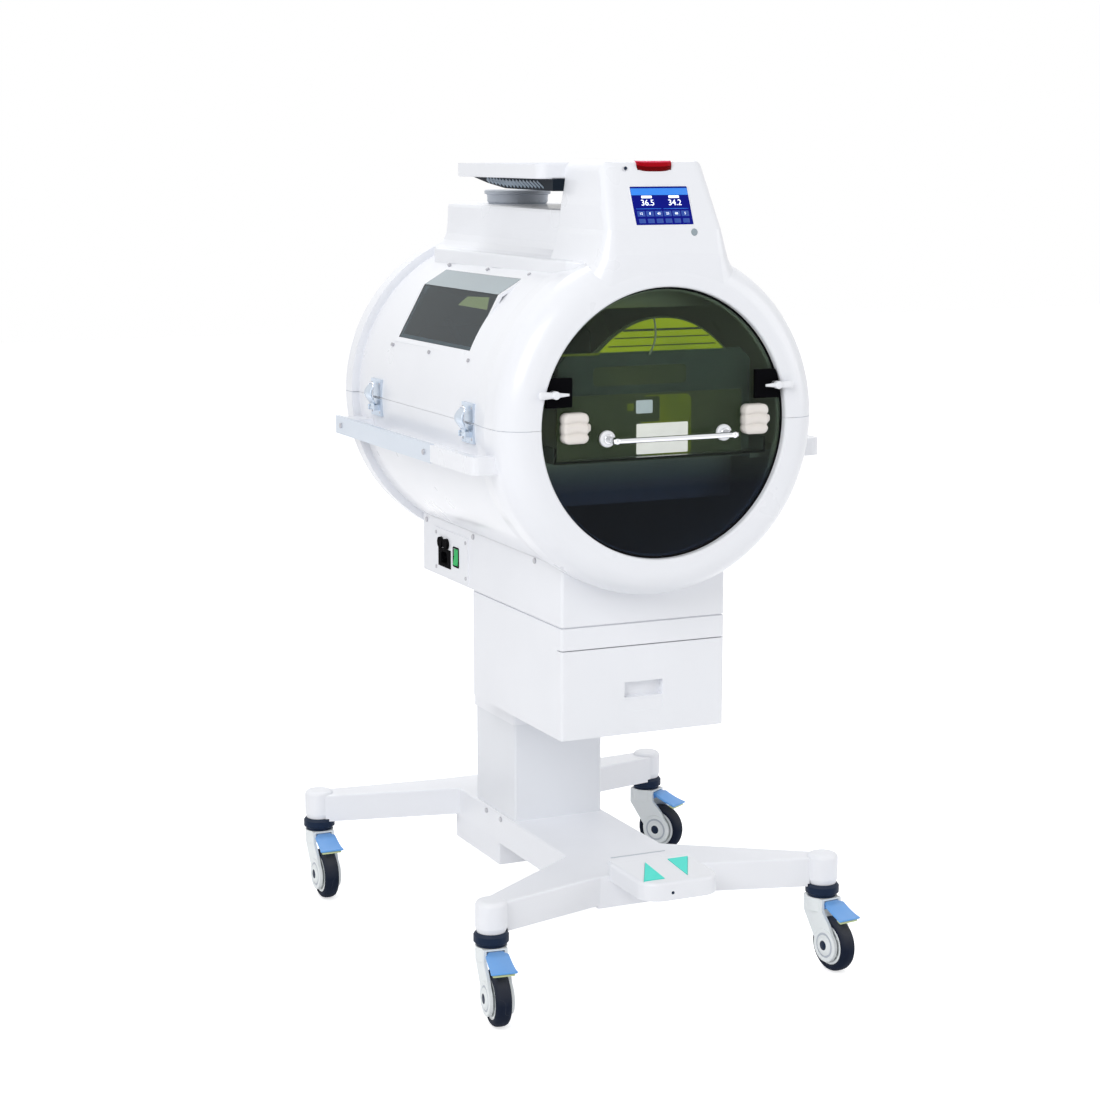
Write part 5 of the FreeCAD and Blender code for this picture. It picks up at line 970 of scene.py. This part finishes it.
PIVOT_X, PIVOT_Z = 214.0, 1079.0
for word, side in (("left", -1), ("right", 1)):
    lever = add("lever_" + word, tapered_lever(side), "swing_" + word, "cap_white")
    pivot = turned((side * PIVOT_X, DOOR_FRONT - 8.4, PIVOT_Z), FORWARD, domed(7.0, 18.8, 2.5), 32)
    add("lever_pivot_" + word, pivot, "swing_" + word, "cap_white")
    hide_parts("door_swing_" + word)
print("levers made")

# %% [markdown]
# ## Lamp lens, painted shade under the tray, painted reflection on the window and small marks
# The alarm lamp is a red lens laid over the head's top edge. Its section is drawn once, from the
# head's top down the front, and its front and lower edge draw in towards both ends. The lens is
# brightest at its top, where the light falls, so two darker skins of painted shade lie over its
# middle and its foot. Under the tray a dark block runs back from the head with pale slats leaning
# one way: painted shade of the tray's underside with painted streaks of light. The window's upper
# facet looks much paler than the lower one, since it lies flatter, so a pale sheet on it is a
# painted reflection; below it a lit corner of the bed is painted light beside a dark plate of
# painted shade.

# %% The alarm lamp's lens, its section given as (how far forward, height)
LENS = np.array([(0.0, 1465.7), (0.35, 1465.7), (0.62, 1465.3), (0.84, 1463.2), (0.98, 1460.0), (1.0, 1456.0),
                 (0.93, 1450.0), (0.72, 1446.4), (0.40, 1444.6), (0.0, 1444.2)])
LENS_HALF, LENS_Y, LENS_TOP, LENS_TALL = 33.0, -337.0, 1467.5, 23.3
LENS_REAR = np.array([(-316.0, 1445.5), (-316.0, 1465.6)])
span = np.linspace(-1, 1, 49)
forward = 6.8 + 4.5 * np.sqrt(1 - np.abs(span) ** 5)
lift = 5.0 * np.abs(span) ** 3 * np.clip((LENS_TOP - LENS[:, 1:]) / LENS_TALL, 0, 1)
lens_y, lens_z = LENS_Y - LENS[:, :1] * forward, LENS[:, 1:] + lift


def lens_rings(half, y, z):
    """One ring for each place across the lamp, from rows of y and z that run down its section."""
    return np.stack([np.broadcast_to(half * span, y.shape), y, z], axis=-1)


rear = lens_rings(LENS_HALF, *(LENS_REAR[:, axis:axis + 1].repeat(49, axis=1) for axis in (0, 1)))
rings = np.concatenate([lens_rings(LENS_HALF, lens_y, lens_z), rear]).transpose(1, 0, 2)
lamp = add("lamp_lens", capped(rings), "canopy", "lamp_red")
# Two darker skins over the lens's middle and foot: painted shade, as the light falls on its top.
for word, first, proud in (("middle", 3, 0.2), ("dark", 5, 0.4)):
    skin = lens_rings(LENS_HALF + 0.05, lens_y[first:9] - proud, lens_z[first:9])
    skin = np.concatenate([skin, skin[::-1] + (0, 1.5, 0)]).transpose(1, 0, 2)
    add("lamp_" + word, capped(skin), "canopy", "lamp_red", FINISHES["lamp_" + word])
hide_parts("alarm_lamp")
print("lens made")

# %% The painted shade under the tray, its underside given as (y, z)
TRAY_BASE, UNDER_TRAY_HALF, STREAKS, STREAK_STEP = 1434.0, 124.0, 16, 15.5
UNDER = np.array([(-199.2, TRAY_BASE), (-199.2, 1413.0), (8.0, 1414.5), (90.0, 1423.0), (158.0, 1433.2),
                  (158.0, TRAY_BASE)])
rings = np.stack([np.insert(UNDER, 0, x, axis=1) for x in (-UNDER_TRAY_HALF, -40.0, 40.0, UNDER_TRAY_HALF)])
# A dark block under the tray: painted shade of its underside.
add("tray_painted_shade", capped(rings), "canopy", "vent_grey", FINISHES["louvre_slate"], smooth=False)
lean = np.array([0, 0.93, 0.37]) / math.hypot(0.93, 0.37)
# Pale leaning strips on both sides: painted streaks of light across that shade.
for side in (-1, 1):
    for streak in range(STREAKS):
        y = -146.0 + STREAK_STEP * streak
        floor_z = np.interp(y, UNDER[1:5, 0], UNDER[1:5, 1])
        middle = (side * (UNDER_TRAY_HALF + 0.2), y, (floor_z + TRAY_BASE) / 2)
        size = ((TRAY_BASE - floor_z) * 1.5, 3.2 + 0.28 * streak, 0.5)
        bar = pillow(middle, lean, np.cross((side, 0, 0), lean), size, 0.8, 0.2, 3)
        add(f"tray_light_streak_{side}_{streak}", bar, "canopy", "vent_grey", FINISHES["louvre_pale"])
print("louvre made")

# %% The window's upper facet with its painted reflection, and what shows below it
FACET_OUT, FACET_UP, LOWER_OUT = np.array([-0.507, 0, 0.862]), (0.862, 0, 0.507), np.array([-0.878, 0, 0.479])
FACET_MIDDLE, FACET_SIZE = np.array([-196.5, -2.0, 1247.2]), (349.0, 51.0, 0.3)
# The pale sheet over the upper facet is a painted reflection.
facet_reflection = pillow(FACET_MIDDLE + 0.3 * FACET_OUT, FORWARD, FACET_UP, FACET_SIZE, 1.0, 0.1, 3)
add("window_facet_reflection", facet_reflection, "canopy", "smoked", FACET_REFLECTION_GLASS, smooth=False)


def glimpse(name, corners, material):
    """A thin plate with the given corners: two rings, each closed at its middle."""
    corners = np.array(corners, float)
    plate = capped(np.stack([corners, corners + 0.4 * LOWER_OUT]))
    add(name, plate, "canopy", "smoked", material, smooth=False)


# A bright olive plate is painted light on the bed's corner; the dark plate below it is painted shade.
glimpse("window_glimpse", [(-228.4, -20, 1206), (-219.5, -44, 1222.5), (-217.4, -138, 1226.3),
                           (-228.8, -154, 1205.6)], OLIVE_GLIMPSE)
glimpse("window_shadow", [(-243.7, 10, 1178.3), (-242.6, -21, 1180.3), (-264.0, -152, 1141.2),
                          (-265.4, -118, 1138.7)], FINISHES["dark_slate"])
print("window film made")

# %% The head's light sensor, the foot switch's lock, a painted shadow line on the spine and the rocker's frame
eye = turned(on_screen(-55, 104, -2.2), SCREEN_OUT, domed(2.7, 3.0, 0.5), 20)
add("head_eye", eye, "canopy", "button_grey", FINISHES["dark_slate"])
lock = turned((-24.0, -483.7, 209.5), FORWARD, domed(3.0, 0.5, 0.3), 20)
add("switch_lock", lock, "base", "button_grey", FINISHES["dark_slate"])
# A thin grey strip on the spine behind the switch: painted shadow of the cover plate's edge.
groove = pillow((27.0, -246.0, 206.05), ACROSS, BACK, (112.0, 5.0, 0.3), 2.2, 0.1, 3)
add("spine_shadow_line", groove, "base", "vent_grey")
ROCKER_FACE, ROCKER_MIDDLE = -165.7, (156.4, 710.5)
rim_path = np.insert(rounded_outline(13.4, 18.4, 2.5, 5) + ROCKER_MIDDLE, 0, ROCKER_FACE, axis=1)
add("rocker_frame", swept(rim_path, circle(1.5, 8), True), "carriage", "black_plastic", wrap_rows=True)
print("marks made")

# %% [markdown]
# ## Vent and latches
# The vent in the top housing is a grey turret with small studs round its waist. Each draw latch
# has a bowed lever, a wire bail that runs from the lever over the hook, and screws in its plates.
# Studs and screws are turned profiles, the lever is a row of flat sections whose bow is a sine,
# and the bail is a circle carried along a bent path, as the wire itself is bent.

# %% The vent's studs
VENT_WAIST, VENT_RADIUS, STUDS = np.array([0.0, 235.0, 1387.0]), 56.6, 16
STUD = [(0, 0), (2.2, 0), (2.2, 1.2), (1.4, 2.0), (0, 2.0)]
for stud in range(STUDS):
    turn = 2 * np.pi * stud / STUDS
    out = np.array([np.cos(turn), np.sin(turn), 0.0])
    add(f"vent_stud_{stud}", turned(VENT_WAIST + out * VENT_RADIUS, out, STUD, 16), "canopy", "vent_grey")
print(STUDS, "studs set")

# %% The profiles of a latch, from its pin
KNUCKLE = [(2.6, 0), (5, 0), (5, 20), (2.6, 20), (2.6, 0)]
SCREW_HEAD = [(0, 0), (2.6, 0), (2.4, 0.8), (1.2, 1.3), (0, 1.3)]
SCREW_ALONG, SCREW_FACE = 19.5, 5.6
BAIL = np.array([(-5.5, -13, 14), (-6.5, -13.5, 24), (-5.8, -13.5, 36), (-4.6, -12, 43.5), (-4.2, -8, 46.5),
                 (-4.2, 0, 47.2), (-4.2, 8, 46.5), (-4.6, 12, 43.5), (-5.8, 13.5, 36), (-6.5, 13.5, 24),
                 (-5.5, 13, 14)])


def bowed_grip(pin, middle_y, top):
    """Flat sections up the lever: it bows out by a sine of its rise, and is widest at its middle."""
    rise = np.linspace(0, 1, 15)
    bow = pin[0] - 1.5 - 9.5 * np.sin(np.pi * rise) ** 1.3
    height = pin[2] + 7.5 + (top - pin[2] - 7.5) * rise
    half = 8 + 8.5 * np.sin(np.pi * np.clip(rise * 0.9 + 0.1, 0, 1)) ** 0.5
    rings = []
    for x, z, wide in zip(bow, height, half):
        flat = rounded_outline(wide, 1.5, 0.7, 3)
        rings.append(np.stack([x + flat[:, 1], middle_y + flat[:, 0], np.full(len(flat), z)], axis=1))
    return capped(np.array(rings))


print("bail rises", BAIL[:, 2].max(), "above its pin")

# %% Bowed levers, wire bails and plate screws
PLATES = (("latch_hooks", "canopy", 8), ("latch_keepers", "carriage", -9))  # node, body, screws' rise
for word in ("front", "rear"):
    body = "latch_" + word
    low, high = in_mm(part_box("latch_lever_" + word))
    pin, middle_y = joint_spot(f"latch_{word}_swing"), (low[1] + high[1]) / 2
    lever = add("latch_grip_" + word, bowed_grip(pin, middle_y, high[2]), body, "latch_steel")
    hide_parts("latch_lever_" + word)
    knuckle = turned((pin[0], middle_y - 10.0, pin[2]), BACK, KNUCKLE, 28)
    add("latch_knuckle_" + word, knuckle, body, "latch_steel")
    web = pillow((pin[0] - 2.0, middle_y, pin[2] + 6.5), BACK, RISE, (19, 8, 2.6), 1.0, 0.5, 3)
    add("latch_web_" + word, web, body, "latch_steel")
    wire = swept(BAIL + np.array([pin[0], middle_y, pin[2]]), circle(1.4, 10))
    add("latch_bail_" + word, wire, body, "latch_steel", FINISHES["chrome"])
    for node_name, owner, screw_rise in PLATES:
        plate_low, plate_high = in_mm(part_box(node_name))
        height = (plate_low[2] + plate_high[2]) / 2 + screw_rise
        for edge in (-1, 1):
            place = (pin[0] + SCREW_FACE, middle_y + edge * SCREW_ALONG, height)
            screw = turned(place, (-1, 0, 0), SCREW_HEAD, 16)
            add(f"latch_screw_{word}_{owner}_{edge}", screw, owner, "screw_steel")
print("latches dressed")

# %% [markdown]
# ## The studio
# The unit stands on a plain pale floor in plain soft light. A big soft light from the front left
# shapes the drum, a weaker one from the right keeps the shadows open, and one from above draws
# the upper edges. The floor is only for the picture.


# %% The floor and the world
FLOOR_HALF, FLOOR_Z, FLOOR_POINTS, FLOOR_GLOW = 14000, -0.4, 9, 0.6
WORLD_LIGHT, WORLD_WHITE = 0.55, 0.45  # what lights the unit, and what the camera sees besides


def background_rays(tree):
    """1 where the camera, a mirror or glass looks straight at the background, 0 elsewhere."""
    paths = tree.nodes.new("ShaderNodeLightPath")
    mirror = math_node(tree, "MAXIMUM", paths.outputs["Is Glossy Ray"], paths.outputs["Is Transmission Ray"])
    return math_node(tree, "MAXIMUM", paths.outputs["Is Camera Ray"], mirror)


def build_floor():
    """A flat grid under the casters, with a little glow of its own where the camera sees it."""
    across = np.linspace(-FLOOR_HALF, FLOOR_HALF, FLOOR_POINTS)
    x, y = np.meshgrid(across, across, indexing="ij")
    points = np.stack([x, y, np.full_like(x, FLOOR_Z)], axis=-1)
    mesh = bpy.data.meshes.new("studio_floor")
    quads = grid_faces(FLOOR_POINTS, FLOOR_POINTS, False, False)
    mesh.from_pydata((points.reshape(-1, 3) * MM).tolist(), [], quads.tolist())
    floor = bpy.data.objects.new("studio_floor", mesh)
    bpy.context.scene.collection.objects.link(floor)
    material = finish("pale studio floor", (0.86, 0.86, 0.87), 0.7, grain=60.0, depth=0.3, dust=0.0,
                      scuff=0.0, shade=0.01)
    tree = material.node_tree
    shader = tree.nodes["Principled BSDF"]
    shader.inputs["Emission Color"].default_value = (1.0, 1.0, 1.0, 1.0)
    glow = math_node(tree, "MULTIPLY", background_rays(tree), FLOOR_GLOW)
    tree.links.new(glow, shader.inputs["Emission Strength"])
    dress(floor, material)


def build_world():
    """White where the camera, a mirror or glass looks at it; a plain grey light elsewhere."""
    world = bpy.data.worlds.new("soft studio")
    bpy.context.scene.world = world
    world.use_nodes = True
    tree = world.node_tree
    seen = math_node(tree, "MULTIPLY", background_rays(tree), WORLD_WHITE)
    strength = math_node(tree, "ADD", seen, WORLD_LIGHT)
    background = tree.nodes["Background"]
    background.inputs["Color"].default_value = (1.0, 1.0, 1.0, 1.0)
    tree.links.new(strength, background.inputs["Strength"])


build_floor()
build_world()
print("floor and world made")


# %% The lamps, in metres and watts
def aimed(name, data, place, way):
    """A lamp or camera that stands at a place and looks along a direction."""
    holder = bpy.data.objects.new(name, data)
    bpy.context.scene.collection.objects.link(holder)
    holder.location = place
    holder.rotation_mode = "QUATERNION"
    holder.rotation_quaternion = Vector(way).to_track_quat("-Z", "Y")
    return holder


def soft_lamp(name, place, aim, size, power):
    """A square area light turned to its aim."""
    light = bpy.data.lights.new(name, "AREA")
    light.shape, light.size, light.energy = "SQUARE", size, power
    aimed(name, light, place, Vector(aim) - Vector(place))


soft_lamp("key light", (-3.2, -2.6, 3.2), (0, 0, 0.9), 2.4, 92)
soft_lamp("fill light", (3.4, -2.2, 2.0), (0, 0, 0.9), 2.6, 34)
soft_lamp("top light", (0.3, 1.2, 3.6), (0, 0, 1.0), 2.0, 35)
print("three lamps hung")

# %% [markdown]
# ## The camera
# The camera stands where the photograph was taken from, a little above the drum and to the
# left of the front, with a long lens, so the drum's front ring covers its side as it does there.

# %% Camera and colour view
CAMERA_PLACE, CAMERA_WAY = (-1.8620, -3.9905, 1.4950), (0.40962, 0.89637, -0.16952)
FOCAL_LENGTH, SENSOR_WIDTH = 77.34, 36.0
lens = bpy.data.cameras.new("photo camera")
lens.lens, lens.sensor_width = FOCAL_LENGTH, SENSOR_WIDTH
bpy.context.scene.camera = aimed("photo camera", lens, CAMERA_PLACE, CAMERA_WAY)
bpy.context.scene.view_settings.view_transform = "Standard"
print("camera set")

# %% The end of the scene
print("scene ready")
